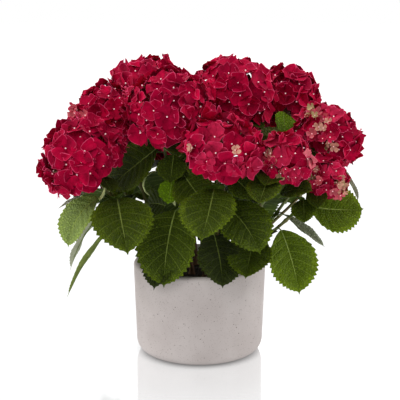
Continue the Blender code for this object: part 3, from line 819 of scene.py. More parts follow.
class Blade:
    """A leaf blade's curve on its petiole: it leaves its base at a pitch and droops to its tip."""

    STEPS = 12

    def __init__(self, route, below, heading, petiole, length, pitch, droop, roll):
        self.values = (below, heading, petiole, length, pitch, droop, roll)
        self.node = route.at(route.neck - below)
        self.heading, self.pitch, self.droop, self.roll = map(math.radians, (heading, pitch, droop, roll))
        self.length = length
        self.base = self.node + direction(self.heading, PETIOLE_LIFT) * petiole
        line = [self.base]
        for i in range(self.STEPS):
            middle = (i + 0.5) / self.STEPS
            line.append(line[-1] + direction(self.heading, self.pitch - self.droop * middle)
                        * (length / self.STEPS))
        self.line = np.array([tuple(point) for point in line])

    def place(self, t, side, lift):
        """Points at shares t of the length, moved across the blade and lifted off it."""
        t = np.clip(np.asarray(t, float), 0.0, 1.0)
        marks = np.linspace(0.0, 1.0, self.STEPS + 1)
        centre = np.stack([np.interp(t, marks, self.line[:, axis]) for axis in range(3)], axis=-1)
        slope = self.pitch - self.droop * t
        along = np.stack([math.cos(self.heading) * np.cos(slope), math.sin(self.heading) * np.cos(slope),
                          np.sin(slope)], axis=-1)
        across = np.array(direction(self.heading - math.pi / 2, 0.0))
        normal = np.cross(np.broadcast_to(across, along.shape), along)
        rolled = across * math.cos(self.roll) + normal * math.sin(self.roll)
        upward = normal * math.cos(self.roll) - across * math.sin(self.roll)
        return centre + rolled * np.asarray(side)[..., None] + upward * np.asarray(lift)[..., None]

    def corners(self):
        """Three corners that the blade has in the solids: its tip and one on each margin."""
        depth = max(LEAF_THICKNESS, self.length / 80) / 2
        t = ((1 + math.cos(math.radians(72))) / 2) ** LEAF_TAPER
        side = self.length * LEAF_WIDTH / 2 * blade_width(t)
        lift = side * math.tan(LEAF_FOLD) - depth
        return self.place([1.0, t, t], [0.0, side, -side], [-depth, lift, lift])


def tries():
    """Small changes of heading and pitch that a leaf may have made to find room."""
    yield 0, 0
    for size in TRY_SIZES:
        for turn, pitch in ((0, size), (size, 0), (-size, 0), (0, -size), (size, size), (-size, size)):
            yield turn, pitch


def stray(rng, size):
    return rng.uniform(-size, size)


def ruled_leaves(shoot, route, stem_length):
    """Values for the pairs of leaves along a shoot: each pair stands square to the one above."""
    rng = random.Random("leaves of " + shoot)
    heading = route.outward + PAIR_START + stray(rng, PAIR_STRAY)
    below = PAIR_FIRST
    pair = 0
    while below < stem_length - STEM_BARE:
        rank = min(pair, len(PAIR_LENGTHS) - 1)
        for turn in (0, 180):
            length = PAIR_LENGTHS[rank] * rng.uniform(*LENGTH_RANGE)
            petiole = PAIR_PETIOLE + stray(rng, PETIOLE_STRAY)
            yield (below, heading + turn + stray(rng, HEADING_STRAY), petiole, length,
                   PAIR_PITCH[rank] + stray(rng, PITCH_STRAY), rng.uniform(*PAIR_DROOP),
                   stray(rng, ROLL_STRAY))
        below += PAIR_STEP + stray(rng, STEP_STRAY)
        heading += 90
        pair += 1


def settled(route, values, solid):
    """The blade as it stands in the solids, or none where the rule left it out."""
    below, heading, petiole, length, pitch, droop, roll = values
    for turn, lift in tries():
        blade = Blade(route, below, heading + turn, petiole, length, pitch + lift, droop, roll)
        if all(solid.find_nearest(Vector(corner))[3] < GAP for corner in blade.corners()):
            return blade
    return None


def all_blades():
    """Every leaf of the solids, by shoot."""
    blades = {}
    for name, route in ROUTES.items():
        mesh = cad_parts["foliage_" + name].data
        corners = [vertex.co.copy() for vertex in mesh.vertices]
        solid = BVHTree.FromPolygons(corners, [tuple(face.vertices) for face in mesh.polygons])
        wanted = list(HUNG_LEAVES.get(name, ()))
        wanted += ruled_leaves(name, route, route.shoot_end - CANE_LENGTH)
        found = [settled(route, values, solid) for values in wanted]
        blades[name] = {number: drawn(route, blade, LEAF_LOOKS.get((name, number), {}))
                        for number, blade in enumerate(blade for blade in found if blade)
                        if (name, number) not in OPEN_PLACES}
    return blades


def drawn(route, blade, looks):
    """The blade with the length and the small turns that its looks ask for."""
    below, heading, petiole, length, pitch, droop, roll = blade.values
    return Blade(route, below, heading + looks.get("turn", 0), petiole, length * looks.get("length", 1),
                 pitch + looks.get("lift", 0), droop + looks.get("droop", 0), roll + looks.get("roll", 0))


BLADES = all_blades()


# Tubes.

def tube_model(sides, rings):
    """A straight tube with rings one apart, drawn up from a disc."""
    deselect()
    bpy.ops.mesh.primitive_circle_add(vertices=sides, radius=1.0, fill_type="NGON")
    item = bpy.context.active_object
    bpy.ops.object.mode_set(mode="EDIT")
    bpy.ops.mesh.select_all(action="SELECT")
    for _ in range(rings):
        bpy.ops.mesh.extrude_region_move(TRANSFORM_OT_translate={"value": (0, 0, 1)})
    close_edit()
    return Model(item)


# Leaves.

# Rows of a leaf from one side vein to the next: share of the veins' spacing, and tooth of the margin.
VEIN_STRIP = 0.055  # width of a side vein's own strip of faces
FINE_CUTS = ((0.0, 0.6), (VEIN_STRIP, 1.0), (0.32, -1.0), (0.55, 1.0), (0.78, -1.0))
SMALL_CUTS = ((0.0, 1.0), (0.5, -1.0))
FINE_VEIN_PAIRS = 9
SMALL_VEIN_PAIRS = 6

# Columns of a leaf from the midrib to the margin, and the step of colour of each column's faces.
MIDRIB = 0.030
BANDS = (0.0, MIDRIB, 0.22, 0.42, 0.62, 0.80, 0.93, 1.0)
BAND_LEVELS = (0, 0, 1, 1, 2, 3, 4)
SMALL_BANDS = (0.0, MIDRIB, 0.5, 0.90, 1.0)
LEVELS = 5  # steps of colour from the blade's middle to its margin
VEIN_FACE, MIDRIB_FACE = LEVELS, LEVELS + 1
LEAF_FACES = LEVELS + 2

VEIN_REACH = 2.0  # how far side veins lean forward to the margin, and how they curve there
VEIN_CURVE = 1.25
VEIN_END = 0.9  # where a side vein's own strip of faces ends
TOOTH_WIDTH = 0.8
TOOTHLESS_BASE = 0.12
TOOTHLESS_TIP = 0.20
BODY_END = 0.95  # where a leaf's rounded body would close, before its drawn-out tip
BODY_SKEW = 1.08
BODY_FULLNESS = 0.62
TIP_START = 0.80
TIP_WIDTH = 0.24
TIP_SHARPNESS = 1.15
OUTLINE_WIDTH = 1.02
RIB_WIDTH = 0.55  # width of the midrib, how far it narrows to the tip and how deep it is sunk
RIB_TAPER = 0.6
RIB_SINK = 0.35
PUFF_SHARPNESS = 0.7
MERGE = 0.00005

# How a leaf varies when it is laid: its width, the height of its ripples, how many waves run along it,
# and how far it bows to a side.
LAID_WIDTHS = (0.97, 1.05)
RIPPLE_HEIGHTS = (0.4, 1.1)
RIPPLE_WAVES = (1.6, 2.6)
BOW = 0.02


def outline(t):
    """Half width of the fine leaf: a rounded body with a short drawn-out tip."""
    body = 0.0
    if 0.0 < t < BODY_END:
        body = math.sin(math.pi * (t / BODY_END) ** BODY_SKEW) ** BODY_FULLNESS
    tip = TIP_WIDTH * ((1 - t) / (1 - TIP_START)) ** TIP_SHARPNESS if t > TIP_START else 0.0
    return OUTLINE_WIDTH * max(body, tip)


def leaf_point(settings, row, column):
    """A point of the flat leaf, whose rows follow the side veins out to a toothed margin."""
    mark, cut, tooth = row
    share = abs(column)
    end = 1 - (1 - mark) ** VEIN_REACH
    t = mark + (end - mark) * share ** VEIN_CURVE
    half = LEAF_WIDTH / 2 * outline(end)
    side = share * half
    if share <= MIDRIB:
        side = share * half ** 0.5 * RIB_WIDTH * (1 - RIB_TAPER * mark)
    if share == 1.0:
        fade = min(end / TOOTHLESS_BASE, 1.0) * min((1 - end) / TOOTHLESS_TIP, 1.0)
        side += tooth * settings.tooth * fade * TOOTH_WIDTH
        t += max(tooth, 0.0) * settings.tooth * fade
    puff = math.sin(math.pi * min(cut / 0.999, 1.0)) if cut > VEIN_STRIP else 0.0
    rise = settings.quilting * puff ** PUFF_SHARPNESS * math.sin(math.pi * min(share + 0.06, 1.0)) ** 0.5
    if share <= MIDRIB:
        rise -= settings.quilting * RIB_SINK * (1 - mark)
    return t, side * math.copysign(1.0, column), rise * min(4 * outline(end), 1.0)


def leaf_model(settings, pairs, cuts, bands):
    """A flat leaf of unit length with its back, in steps of colour from its middle to its margin."""
    rows = [((pair + cut) / pairs, cut, tooth) for pair in range(pairs) for cut, tooth in cuts]
    rows.append((1.0, 0.0, 0.0))
    columns = [-band for band in reversed(bands[1:])] + list(bands)
    item, where = add_grid(len(rows), len(columns))
    mesh = item.data
    for vertex, (i, j) in zip(mesh.vertices, where):
        vertex.co = leaf_point(settings, rows[i], columns[j])
    for face in mesh.polygons:
        i, j = cell(face, where)
        inner = min(abs(columns[j]), abs(columns[j + 1]))
        strip = rows[i][1] == 0.0 and len(cuts) > 2
        if inner < MIDRIB:
            face.material_index = MIDRIB_FACE
        elif strip and inner < VEIN_END:
            face.material_index = VEIN_FACE
        else:
            band = max(number for number, edge in enumerate(BANDS) if edge <= inner + 0.01)
            face.material_index = BAND_LEVELS[min(band, len(BAND_LEVELS) - 1)]
    add_slots(item, 2 * LEAF_FACES)
    edit(item)
    bpy.ops.mesh.select_all(action="SELECT")
    bpy.ops.mesh.remove_doubles(threshold=MERGE)
    close_edit()
    face_up(mesh)
    thicken(item, settings.thickness, LEAF_FACES)
    return Model(item)


def lay_leaf(model, blade, rng, settings, width=1.0):
    """A copy of the flat leaf, folded, rippled and bent along its blade."""
    t, side, lift = model.points.T
    length = blade.length
    width *= rng.uniform(*LAID_WIDTHS)
    share = np.minimum(np.abs(side) / (LEAF_WIDTH / 2), 1.2)
    ripple = settings.ripple * rng.uniform(*RIPPLE_HEIGHTS)
    phase = rng.uniform(0, math.tau)
    waves = rng.uniform(*RIPPLE_WAVES)
    wave = ripple * share ** 2 * np.sin(math.tau * waves * t + phase + np.where(side > 0, 0.0, 2.0))
    fold = np.abs(side) * width * math.tan(LEAF_FOLD) * (1.08 - 0.30 * share)
    bow = stray(rng, BOW) * np.sin(math.pi * np.clip(t, 0, 1))
    return blade.place(t, (side * width + bow * (1 - share * 0.5)) * length, (lift + fold + wave) * length)


# Leaf tints, lit and shaded copies of the leaf's colours: how bright the blade and its margin are, then the
# colour that the light gives them and how much of it. The shaded and deep tints are painted shade for leaves
# inside the plant and under the heads, the pale one is mostly painted sheen, the backlit and sunlit ones are
# painted light, and the light and fresh ones are partly painted light.
LEAF_TINTS = {
    "shaded": (0.46, 0.34, "backlit", 0.0),
    "deep": (0.98, 0.86, "backlit", 0.0),
    "mid": (1.25, 1.10, "backlit", 0.0),
    "light": (2.60, 1.85, "backlit", 0.0),
    "fresh": (4.60, 2.60, "silvered", 0.18),
    "pale": (3.00, 1.50, "silvered", 0.85),
    "backlit": (1.00, 1.00, "backlit", 0.9),
    "sunlit": (1.00, 1.00, "sunlit", 0.9),
}
LEVEL_SHARES = (0.0, 0.04, 0.13, 0.36, 0.9)  # how far each step has gone to the margin's colour
SIDE_VEIN_FADE = 0.62  # how far a side vein goes to the blade's colour
BRIGHT_BLADE = 2  # a blade as bright as this has the fainter of the two net shades
# Painted shade in the sunken net of veins: the share of the colour kept there, on darker and on brighter
# blades.
PAINTED_NET_SHADES = (0.60, 0.74)
UNEVENNESS = 1.5  # how many steps of colour the noise moves, and its scale on a leaf
UNEVEN_SCALE = 11

# Colours of the undersides, each with the tints whose leaves have it; the first, painted shade, is for all
# others, and the rest are painted light.
UNDERSIDES = {
    "underside": (),
    "lit_underside": ("fresh", "backlit"),
    "silvered": ("pale",),
    "sunlit": ("sunlit",),
}


def leaf_materials(settings):
    """Materials of each tint from the blade's middle to its margin, its veins, then the undersides."""
    materials = []
    for tint, (blade, margin, light, share_lit) in LEAF_TINTS.items():
        lit = getattr(settings, light)
        dark = blend_colours(scaled(settings.blade, blade), lit, share_lit)
        bright = blend_colours(scaled(settings.margin, margin), lit, share_lit)
        vein = scaled(settings.vein, 0.5 + 0.5 * margin)
        side_vein = blend_colours(vein, blend_colours(dark, bright, 0.3), SIDE_VEIN_FADE)
        colours = [blend_colours(dark, bright, share) for share in LEVEL_SHARES] + [side_vein, vein]
        for number, colour in enumerate(colours):
            second = scaled(colour, 0.75) if number >= LEVELS - 1 else blend_colours(colour, bright, 0.15)
            finish = mottled(f"leaf_{tint}_{number}", colour, second, "blade")
            if number < LEVELS:
                quilt(finish, PAINTED_NET_SHADES[blade >= BRIGHT_BLADE])
            materials.append(finish)
    for kind in UNDERSIDES:
        under = getattr(settings, kind)
        rib = blend_colours(under, settings.vein, 0.5)
        name = "leaf_back_" + kind
        materials.append(mottled(name, under, scaled(under, 0.75), "underside"))
        materials.append(mottled(name + "_vein", rib, scaled(rib, 0.85), "underside_vein"))
    return materials


def leaf_slots(model, tint, seed=0.0):
    """Material slots of a leaf of a tint, with the steps of colour on its face a little uneven."""
    first = list(LEAF_TINTS).index(tint) * LEAF_FACES
    kind = max(number for number, tints in enumerate(UNDERSIDES.values()) if number == 0 or tint in tints)
    under = len(LEAF_TINTS) * LEAF_FACES + 2 * kind
    step = model.slots % LEAF_FACES
    shift = Vector((seed, 0, 0))
    uneven = np.array([noise.noise(Vector(centre) * UNEVEN_SCALE + shift) for centre in model.centres])
    moved = np.clip(np.rint(step + UNEVENNESS * uneven), 0, LEVELS - 1).astype(int)
    face = np.where(step < LEVELS, moved, step)
    back = np.where(step < LEVELS, under, under + 1)
    return np.where(model.slots < LEAF_FACES, first + face, back)


INNER_REACH = 0.12  # tips nearer to the middle than this are often shaded
LOW_BASE = 0.19
SMALL_LENGTH = 0.08
TINT_CHANCES = {"shaded": 0.6, "deep": 0.35, "light": 0.5}


def pick_tint(rng, blade):
    """Inner leaves are often shaded and low ones deep, painted shade inside the plant; others are deep at
    random, and small ones are often lighter.
    """
    inner = math.hypot(blade.line[-1][0], blade.line[-1][1]) < INNER_REACH
    if inner and rng.random() < TINT_CHANCES["shaded"]:
        return "shaded"
    if blade.base.z < LOW_BASE or rng.random() < TINT_CHANCES["deep"]:
        return "deep"
    if blade.length < SMALL_LENGTH and rng.random() < TINT_CHANCES["light"]:
        return "light"
    return "mid"


# Operators.

class HYDRANGEA_OT_pot(bpy.types.Operator):
    """Turn the concrete pot: a tapering wall with a soft lip and rounded corners"""
    bl_idname = "hydrangea.pot"
    bl_label = "Pot"

    LIP = 0.48  # share of the wall that each rounded edge of the lip takes
    LIP_STEPS = 6
    CORNER_STEPS = 12

    def execute(self, context):
        size = context.scene.hydrangea_pot
        deselect()
        bpy.ops.mesh.primitive_cylinder_add(vertices=size.sides, radius=size.base_radius,
                                            depth=size.height, location=(0, 0, size.height / 2))
        pot = active_piece("pot_wall")
        bpy.ops.object.transform_apply(location=True, rotation=True, scale=True)
        edit(pot)
        select_top(pot)
        flare = size.rim_radius / size.base_radius
        bpy.ops.transform.resize(value=(flare, flare, 1.0), center_override=(0, 0, size.height))
        bpy.ops.mesh.inset(thickness=size.wall, depth=0.0)
        depth = size.height - size.floor
        bpy.ops.mesh.extrude_region_move(TRANSFORM_OT_translate={"value": (0, 0, -depth)})
        mouth = size.rim_radius - size.wall
        bottom = size.base_radius + (size.rim_radius - size.base_radius) * size.floor / size.height
        shrink = (bottom - size.wall) / mouth
        bpy.ops.transform.resize(value=(shrink, shrink, 1.0), center_override=(0, 0, size.floor))
        bevel_ring(pot, size.floor, bottom - size.wall, size.inner_corner, self.LIP_STEPS)
        bevel_ring(pot, 0.0, size.base_radius, size.corner, self.CORNER_STEPS)
        for radius in (size.rim_radius, mouth):
            bevel_ring(pot, size.height, radius, size.wall * self.LIP, self.LIP_STEPS)
        bpy.ops.object.mode_set(mode="OBJECT")
        smooth(pot, 32)
        finish_piece(pot, ["pot"], [concrete_material(size)])
        return {"FINISHED"}


class HYDRANGEA_OT_compost(bpy.types.Operator):
    """Fill the pot with compost: an uneven surface with loose crumbs on it"""
    bl_idname = "hydrangea.compost"
    bl_label = "Compost"

    STEPS = 72
    SINK = 0.0012  # how far the ground lies below the top of its solid
    BUMPS = 0.0022
    BUMP_SCALE = 60
    EDGE_START = 0.9  # share of the radius where the ground starts to drop to the wall
    EDGE_DROP = 0.003
    DEPTH = 0.032
    TAPER = 0.985
    CRUMB_REACH = 0.97
    CRUMB_SIZE = 0.0006  # size of the smallest crumbs, and how much larger they may be
    CRUMB_GROWTH = 0.0021
    CRUMB_SHAPES = (0.6, 1.4)
    LUMPS = 0.25

    def execute(self, context):
        size = context.scene.hydrangea_pot
        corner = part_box("soil")[1]
        base = self.ground_model(corner.x, corner.z)
        deselect()
        bpy.ops.mesh.primitive_ico_sphere_add(subdivisions=1, radius=1.0)
        crumb = Model(bpy.context.active_object)
        rng = random.Random("crumbs")
        sheaf = Sheaf()
        sheaf.add(base, base.points)
        for _ in range(size.crumbs):
            turn = rng.uniform(0, math.tau)
            out = corner.x * self.CRUMB_REACH * math.sqrt(rng.random())
            scale = self.CRUMB_SIZE + self.CRUMB_GROWTH * rng.random() ** 3
            shape = np.array([rng.uniform(*self.CRUMB_SHAPES) for _ in range(3)])
            lumps = 1 + self.LUMPS * np.array([[stray(rng, 1)] for _ in crumb.points])
            lift = rng.uniform(0, self.SINK) - self.SINK / 2
            place = (out * math.cos(turn), out * math.sin(turn), corner.z + lift)
            slot = rng.choice((1, 1, 2))
            sheaf.add(crumb, crumb.points * shape * lumps * scale + place, slot)
        dark = size.compost
        sheaf.finish("compost", "compost", ["soil"], [
            mottled("compost", dark, scaled(dark, 0.5)),
            mottled("compost_crumb", scaled(dark, 1.3), scaled(dark, 0.7)),
            mottled("compost_fibre", (0.085, 0.050, 0.028), (0.05, 0.03, 0.018))])
        return {"FINISHED"}

    def ground_model(self, radius, top):
        """A square grid drawn out to a disc, with bumps, and drawn down to a flat base."""
        ground = add_grid(self.STEPS + 1, self.STEPS + 1)[0]
        for vertex in ground.data.vertices:
            x, y = vertex.co.x, vertex.co.y
            across = x * math.sqrt(1 - y * y / 2) * radius
            along = y * math.sqrt(1 - x * x / 2) * radius
            edge = math.hypot(across, along) / radius
            bump = noise.fractal(Vector((across, along, 0.0)) * self.BUMP_SCALE, 1.0, 2.0, 4) * self.BUMPS
            drop = self.EDGE_DROP * max(edge - self.EDGE_START, 0.0) / (1 - self.EDGE_START)
            vertex.co = (across, along, top - self.SINK + bump * (1 - edge ** 8) - drop)
        edit(ground)
        bpy.ops.mesh.select_all(action="SELECT")
        bpy.ops.mesh.extrude_region_move(TRANSFORM_OT_translate={"value": (0, 0, -self.DEPTH)})
        bpy.ops.transform.resize(value=(self.TAPER, self.TAPER, 0.0),
                                 center_override=(0, 0, top - self.DEPTH))
        close_edit()
        return Model(ground)


class HYDRANGEA_OT_canes(bpy.types.Operator):
    """Grow the woody canes with their bark"""
    bl_idname = "hydrangea.canes"
    bl_label = "Canes"

    RINGS = 34
    SCARS = (0.32, 0.70)  # shares of a cane's length where old leaves have left scars
    SCAR_HEIGHT = 0.0007
    SCAR_WIDTH = 0.0022

    def execute(self, context):
        settings = context.scene.hydrangea_stem
        model = tube_model(16, self.RINGS)
        sheaf = Sheaf()
        for name, route in ROUTES.items():
            rng = random.Random("bark of " + name)
            marks = [CANE_LENGTH * i / self.RINGS for i in range(self.RINGS + 1)]
            scars = [CANE_LENGTH * share + stray(rng, 0.004) for share in self.SCARS]
            radii = [self.radius(mark, scars) for mark in marks]
            seed = rng.uniform(0, 50)

            def ridges(ring, angle, seed=seed):
                around = [Vector((math.cos(a) * 2.2, math.sin(a) * 2.2, r * 0.10 + seed))
                          for r, a in zip(ring, angle)]
                heights = np.array([noise.noise(point) for point in around])
                fine = np.sin(angle * 5 + ring * 0.22 + seed) * 0.35
                inside = (ring > 0) & (ring < self.RINGS)
                return np.where(inside, settings.bark_relief * (heights + fine - 0.3), -0.0002)

            sheaf.add_tube(model, [route.at(mark) for mark in marks], radii, relief=ridges)
        bark = mottled("bark", settings.bark, scaled(settings.bark, 0.45), stretch=(1.0, 1.0, 0.22))
        sheaf.finish("canes", "bark", ["cane_" + name for name in ROUTES], [bark], 55)
        return {"FINISHED"}

    def radius(self, mark, scars):
        """A cane's radius: it tapers from a flared foot and swells at each scar."""
        radius = CANE_RADIUS + (CANE_TIP_RADIUS - CANE_RADIUS) * mark / CANE_LENGTH
        if mark < CANE_FLARE:
            radius += (CANE_FOOT_RADIUS - CANE_RADIUS) * (1 - mark / CANE_FLARE) ** 2
        return radius + sum(self.SCAR_HEIGHT * math.exp(-((mark - scar) / self.SCAR_WIDTH) ** 2)
                            for scar in scars)


class HYDRANGEA_OT_shoots(bpy.types.Operator):
    """Grow the green shoots with their swollen nodes, and the petioles that carry the leaves"""
    bl_idname = "hydrangea.shoots"
    bl_label = "Shoots"

    SPACING = 0.0035  # from one ring of a shoot to the next
    SWELL_WIDTH = 0.0035
    EXTRA_LIFT = 0.35  # how much steeper a petiole starts than its solid, in radians
    PETIOLE_STEPS = 10
    RIB_STEPS = 8
    RIB_END = 0.88
    SHOOT, PETIOLE = range(2)

    def execute(self, context):
        settings = context.scene.hydrangea_stem
        sheaf = Sheaf()
        models = {}
        petiole = tube_model(6, self.PETIOLE_STEPS)
        rib = tube_model(5, self.RIB_STEPS)
        for name, route in ROUTES.items():
            blades = BLADES[name].values()
            start, end = CANE_LENGTH + GAP, route.length - route.height * STALK_DEPTH
            count = round((end - start) / self.SPACING)
            if count not in models:
                models[count] = tube_model(8, count)
            swells = [route.nearest_mark(blade.node) for blade in blades]
            marks = [start + (end - start) * i / count for i in range(count + 1)]
            radii = []
            for mark in marks:
                share = (mark - start) / (end - start)
                radius = SHOOT_RADIUS + (SHOOT_TIP_RADIUS - SHOOT_RADIUS) * share
                bumps = [math.exp(-((mark - node) / self.SWELL_WIDTH) ** 2) for node in swells]
                swell = max(bumps, default=0.0)
                radii.append(radius + settings.swelling * swell)
            sheaf.add_tube(models[count], [route.at(mark) for mark in marks], radii, self.SHOOT)
            for blade in blades:
                self.add_petiole(sheaf, petiole, rib, blade, settings.petiole)
        green, blush = settings.green, settings.blush
        pale = blend_colours(green, (0.30, 0.36, 0.12), 0.5)
        sheaf.finish("shoots", "leaf", ["foliage_" + name for name in ROUTES], [
            mottled("shoot", green, blush, stretch=(1.0, 1.0, 0.4)),
            mottled("petiole", pale, green)], 60)
        return {"FINISHED"}

    def add_petiole(self, sheaf, petiole, rib, blade, thickness):
        """A stalk that curves from the shoot into the blade, and the rib under the blade."""
        start = direction(blade.heading, PETIOLE_LIFT + self.EXTRA_LIFT)
        leave = direction(blade.heading, blade.pitch)
        span = (blade.base - blade.node).length
        into = Vector(blade.place(0.03, 0.0, -0.008 * blade.length))
        controls = (blade.node, blade.node + start * span * 0.40, into - leave * span * 0.35, into)
        steps = range(self.PETIOLE_STEPS + 1)
        radius = thickness * (0.7 + 2.5 * blade.length)
        radii = [radius * (1.25 - 0.45 * min(i / 4, 1.0)) for i in steps]
        line = [bezier(controls, i / self.PETIOLE_STEPS) for i in steps]
        sheaf.add_tube(petiole, line, radii, self.PETIOLE)
        shares = np.linspace(0.0, self.RIB_END, self.RIB_STEPS + 1)
        line = blade.place(shares, 0 * shares, np.full(len(shares), -0.004 * blade.length - 0.0002))
        sheaf.add_tube(rib, line, radius * np.linspace(0.8, 0.22, len(shares)), self.PETIOLE)


class HYDRANGEA_OT_leaves(bpy.types.Operator):
    """Model one toothed, quilted leaf and lay a copy along every blade"""
    bl_idname = "hydrangea.leaves"
    bl_label = "Leaves"

    FRONT = -0.01  # leaves whose base lies nearer than this are in the front piece
    AXIL_TURNS = (-28, 28)  # headings of the young leaves beside a leaf, from its own
    AXIL_PETIOLE = 0.006
    AXIL_LENGTHS = (0.014, 0.026)
    AXIL_PITCH = (35, 60)
    AXIL_DROOP = (0, 40)
    COLLAR_TURNS = (-80, 80)  # headings of the pair below a head, from the head's own
    COLLAR_PETIOLE = 0.014
    COLLAR_LENGTHS = (0.040, 0.055)
    COLLAR_PITCH = (-20, 5)
    COLLAR_DROOP = 25

    def execute(self, context):
        settings = context.scene.hydrangea_leaf
        materials = leaf_materials(settings)
        fine = leaf_model(settings, FINE_VEIN_PAIRS, FINE_CUTS, BANDS)
        sheaves = {"leaves_front": Sheaf(), "leaves_back": Sheaf(), "young_leaves": Sheaf()}
        for name in ROUTES:
            for number, blade in BLADES[name].items():
                rng = random.Random(f"leaf {number} of {name}")
                sheaf = sheaves["leaves_front" if blade.base.y < self.FRONT else "leaves_back"]
                looks = LEAF_LOOKS.get((name, number), {})
                tint = looks.get("tint") or pick_tint(rng, blade)
                sheaf.add(fine, lay_leaf(fine, blade, rng, settings, looks.get("width", 1.0)),
                          leaf_slots(fine, tint, rng.uniform(0, 99)))
        self.add_young(sheaves["young_leaves"], settings)
        for name, sheaf in sheaves.items():
            sheaf.finish(name, "leaf", ["foliage_" + shoot for shoot in ROUTES], materials, 50)
        return {"FINISHED"}

    def add_young(self, sheaf, settings):
        """Small leaves that open in the leaf axils, those given one by one and a pair below each head."""
        small = leaf_model(settings, SMALL_VEIN_PAIRS, SMALL_CUTS, SMALL_BANDS)

        def add(tint, blade, width=1.0):
            sheaf.add(small, lay_leaf(small, blade, rng, settings, width), leaf_slots(small, tint))

        for name, route in ROUTES.items():
            rng = random.Random("young leaves of " + name)
            for blade in BLADES[name].values():
                heading = math.degrees(blade.heading)
                below = route.neck - route.nearest_mark(blade.node) - 0.002
                for turn in self.AXIL_TURNS:
                    length = rng.uniform(*self.AXIL_LENGTHS)
                    turned = heading + turn + stray(rng, 12)
                    add("light", Blade(route, below, turned, self.AXIL_PETIOLE, length,
                                       rng.uniform(*self.AXIL_PITCH), rng.uniform(*self.AXIL_DROOP),
                                       stray(rng, 20)))
            for tint, width, values in SMALL_LEAVES.get(name, ()):
                add(tint, Blade(route, *values), width)
            for turn in self.COLLAR_TURNS:
                turned = route.outward + turn + stray(rng, 25)
                length = rng.uniform(*self.COLLAR_LENGTHS)
                add("deep", Blade(route, 0.006, turned, self.COLLAR_PETIOLE, length,
                                  rng.uniform(*self.COLLAR_PITCH), self.COLLAR_DROOP, stray(rng, 15)))


# Florets.

SEPAL_FACE, RIM_FACE, BEAD_FACE = range(3)
SEPALS = 4
ACROSS = (-1.0, -0.90, -0.32, 0.32, 0.90, 1.0)  # columns and rows of a sepal's grid
RADIAL = (-1.0, -0.15, 0.50, 0.90, 1.0)
SEPAL_CELLS = (len(ACROSS) - 1) * (len(RADIAL) - 1)
OPEN_BEAD = 0.075  # radius of a floret's bud, as a share of the floret's
YOUNG_BEAD = 0.14

# Cup, recurve, wave, tilt, lean and breadth of the sepals of open florets and of half-open ones.
OPEN_FORMS = (
    (0.30, 0.06, 0.09, 0.12, 0.14, 0.80),
    (0.42, 0.10, 0.12, 0.14, 0.05, 0.82),
    (0.18, 0.10, 0.10, 0.10, 0.20, 0.76),
    (0.50, 0.22, 0.12, -0.14, 0.08, 0.80),
    (0.34, 0.26, 0.10, -0.12, 0.22, 0.78),
    (0.58, 0.14, 0.10, 0.12, 0.00, 0.84),
)
YOUNG_FORMS = (
    (0.80, 0.10, 0.12, 0.16, 0.10, 0.54),
    (1.10, 0.30, 0.14, -0.16, 0.10, 0.58),
)

# Sepal tints: how much of the deep colour, of the pink of the painted edge highlights, of the young cream
# and of the sage green.
SEPAL_TINTS = {
    "crimson": (0.00, 0.00, 0.00, 0.00),
    "ruby": (0.35, 0.00, 0.00, 0.00),
    "deep": (0.75, 0.00, 0.00, 0.00),
    "rose": (0.00, 0.13, 0.00, 0.00),
    "blushed": (0.00, 0.35, 0.22, 0.00),
    "cream": (0.00, 0.05, 0.90, 0.00),
    "sage": (0.00, 0.00, 0.50, 0.75),
}
PLAIN_TINTS = ("crimson", "ruby", "deep")
# The rims carry a painted highlight of this pink, dealt out at random: how much of it each kind has, and how
# often each comes.
RIM_SHARES = {"soft": 0.45, "bright": 0.95}  # how much of the rim's colour each kind has
RIM_CHANCES = (3, 4, 3)  # plain, soft and bright
TINT_FINISHES = 1 + len(RIM_SHARES)
ODD_SEPALS = 0.4  # how often a sepal of a plain tint takes another one
SHEEN = {"Sheen Weight": 0.22, "Sheen Roughness": 0.35}
# How strongly a floret's bud glows: a painted glint.
BEAD_PAINTED_GLINT = 0.5
RUFFLES = ((0.16, 2.6), (0.09, 5.5))  # height and waves of each ruffle over a floret

# How florets stand on a head: how deep they lie, how they stray, and what turns them.
DEPTHS = (0.86, 0.97)
OUTWARD_STRAY = 0.10
NORMAL_STRAY = 0.36
OUTWARD_PULL = 0.9
CENTRE_PULL = 0.6
AXIS_PULL = 0.8
OVERLAP = 0.84  # florets this deep in another head are left out
CROWD_SPREAD = 0.75
OPEN_SIZES = (0.92, 1.12)
YOUNG_SIZES = (0.36, 0.58)
CROWDED_SIZE = 0.90
BUD_SIZE = 0.42


ROUNDNESS = 0.42  # how far a sepal's square is drawn in to a round one
SEPAL_MIDDLE = 0.53  # where a sepal's middle lies, and how far it reaches either way
SEPAL_REACH = 0.47
CLAW = 0.34  # width of a sepal at its foot, as a share of its greatest
NOTCH = 0.035  # every other sepal is notched at its end, and lies over its neighbours
NOTCH_WIDTH = 0.35
SEPAL_LIFT = 0.035


def sepal_point(a, b, form, quarter):
    """A point of a sepal, from its place on a square, across and outwards."""
    cup, recurve, wave, tilt, lean, breadth = form
    odd = quarter % 2
    x = a * math.sqrt(1 - ROUNDNESS * b * b)
    y = b * math.sqrt(1 - ROUNDNESS * a * a)
    radial = SEPAL_MIDDLE + SEPAL_REACH * y
    side = x * breadth * (CLAW + (1 - CLAW) * ((y + 1) / 2) ** 0.6)
    if b == 1.0:
        radial -= NOTCH * math.exp(-(a / NOTCH_WIDTH) ** 2) * odd
    out = math.hypot(radial, side)
    rise = cup * out ** 2 - recurve * out ** 4
    rise += wave * out ** 2 * math.sin(3.1 * a + 1.7 * quarter + 2.0 * b)
    rise += tilt * side + SEPAL_LIFT * odd
    rise += lean * a * a * out * 0.5
    return Vector((radial, -side, rise))


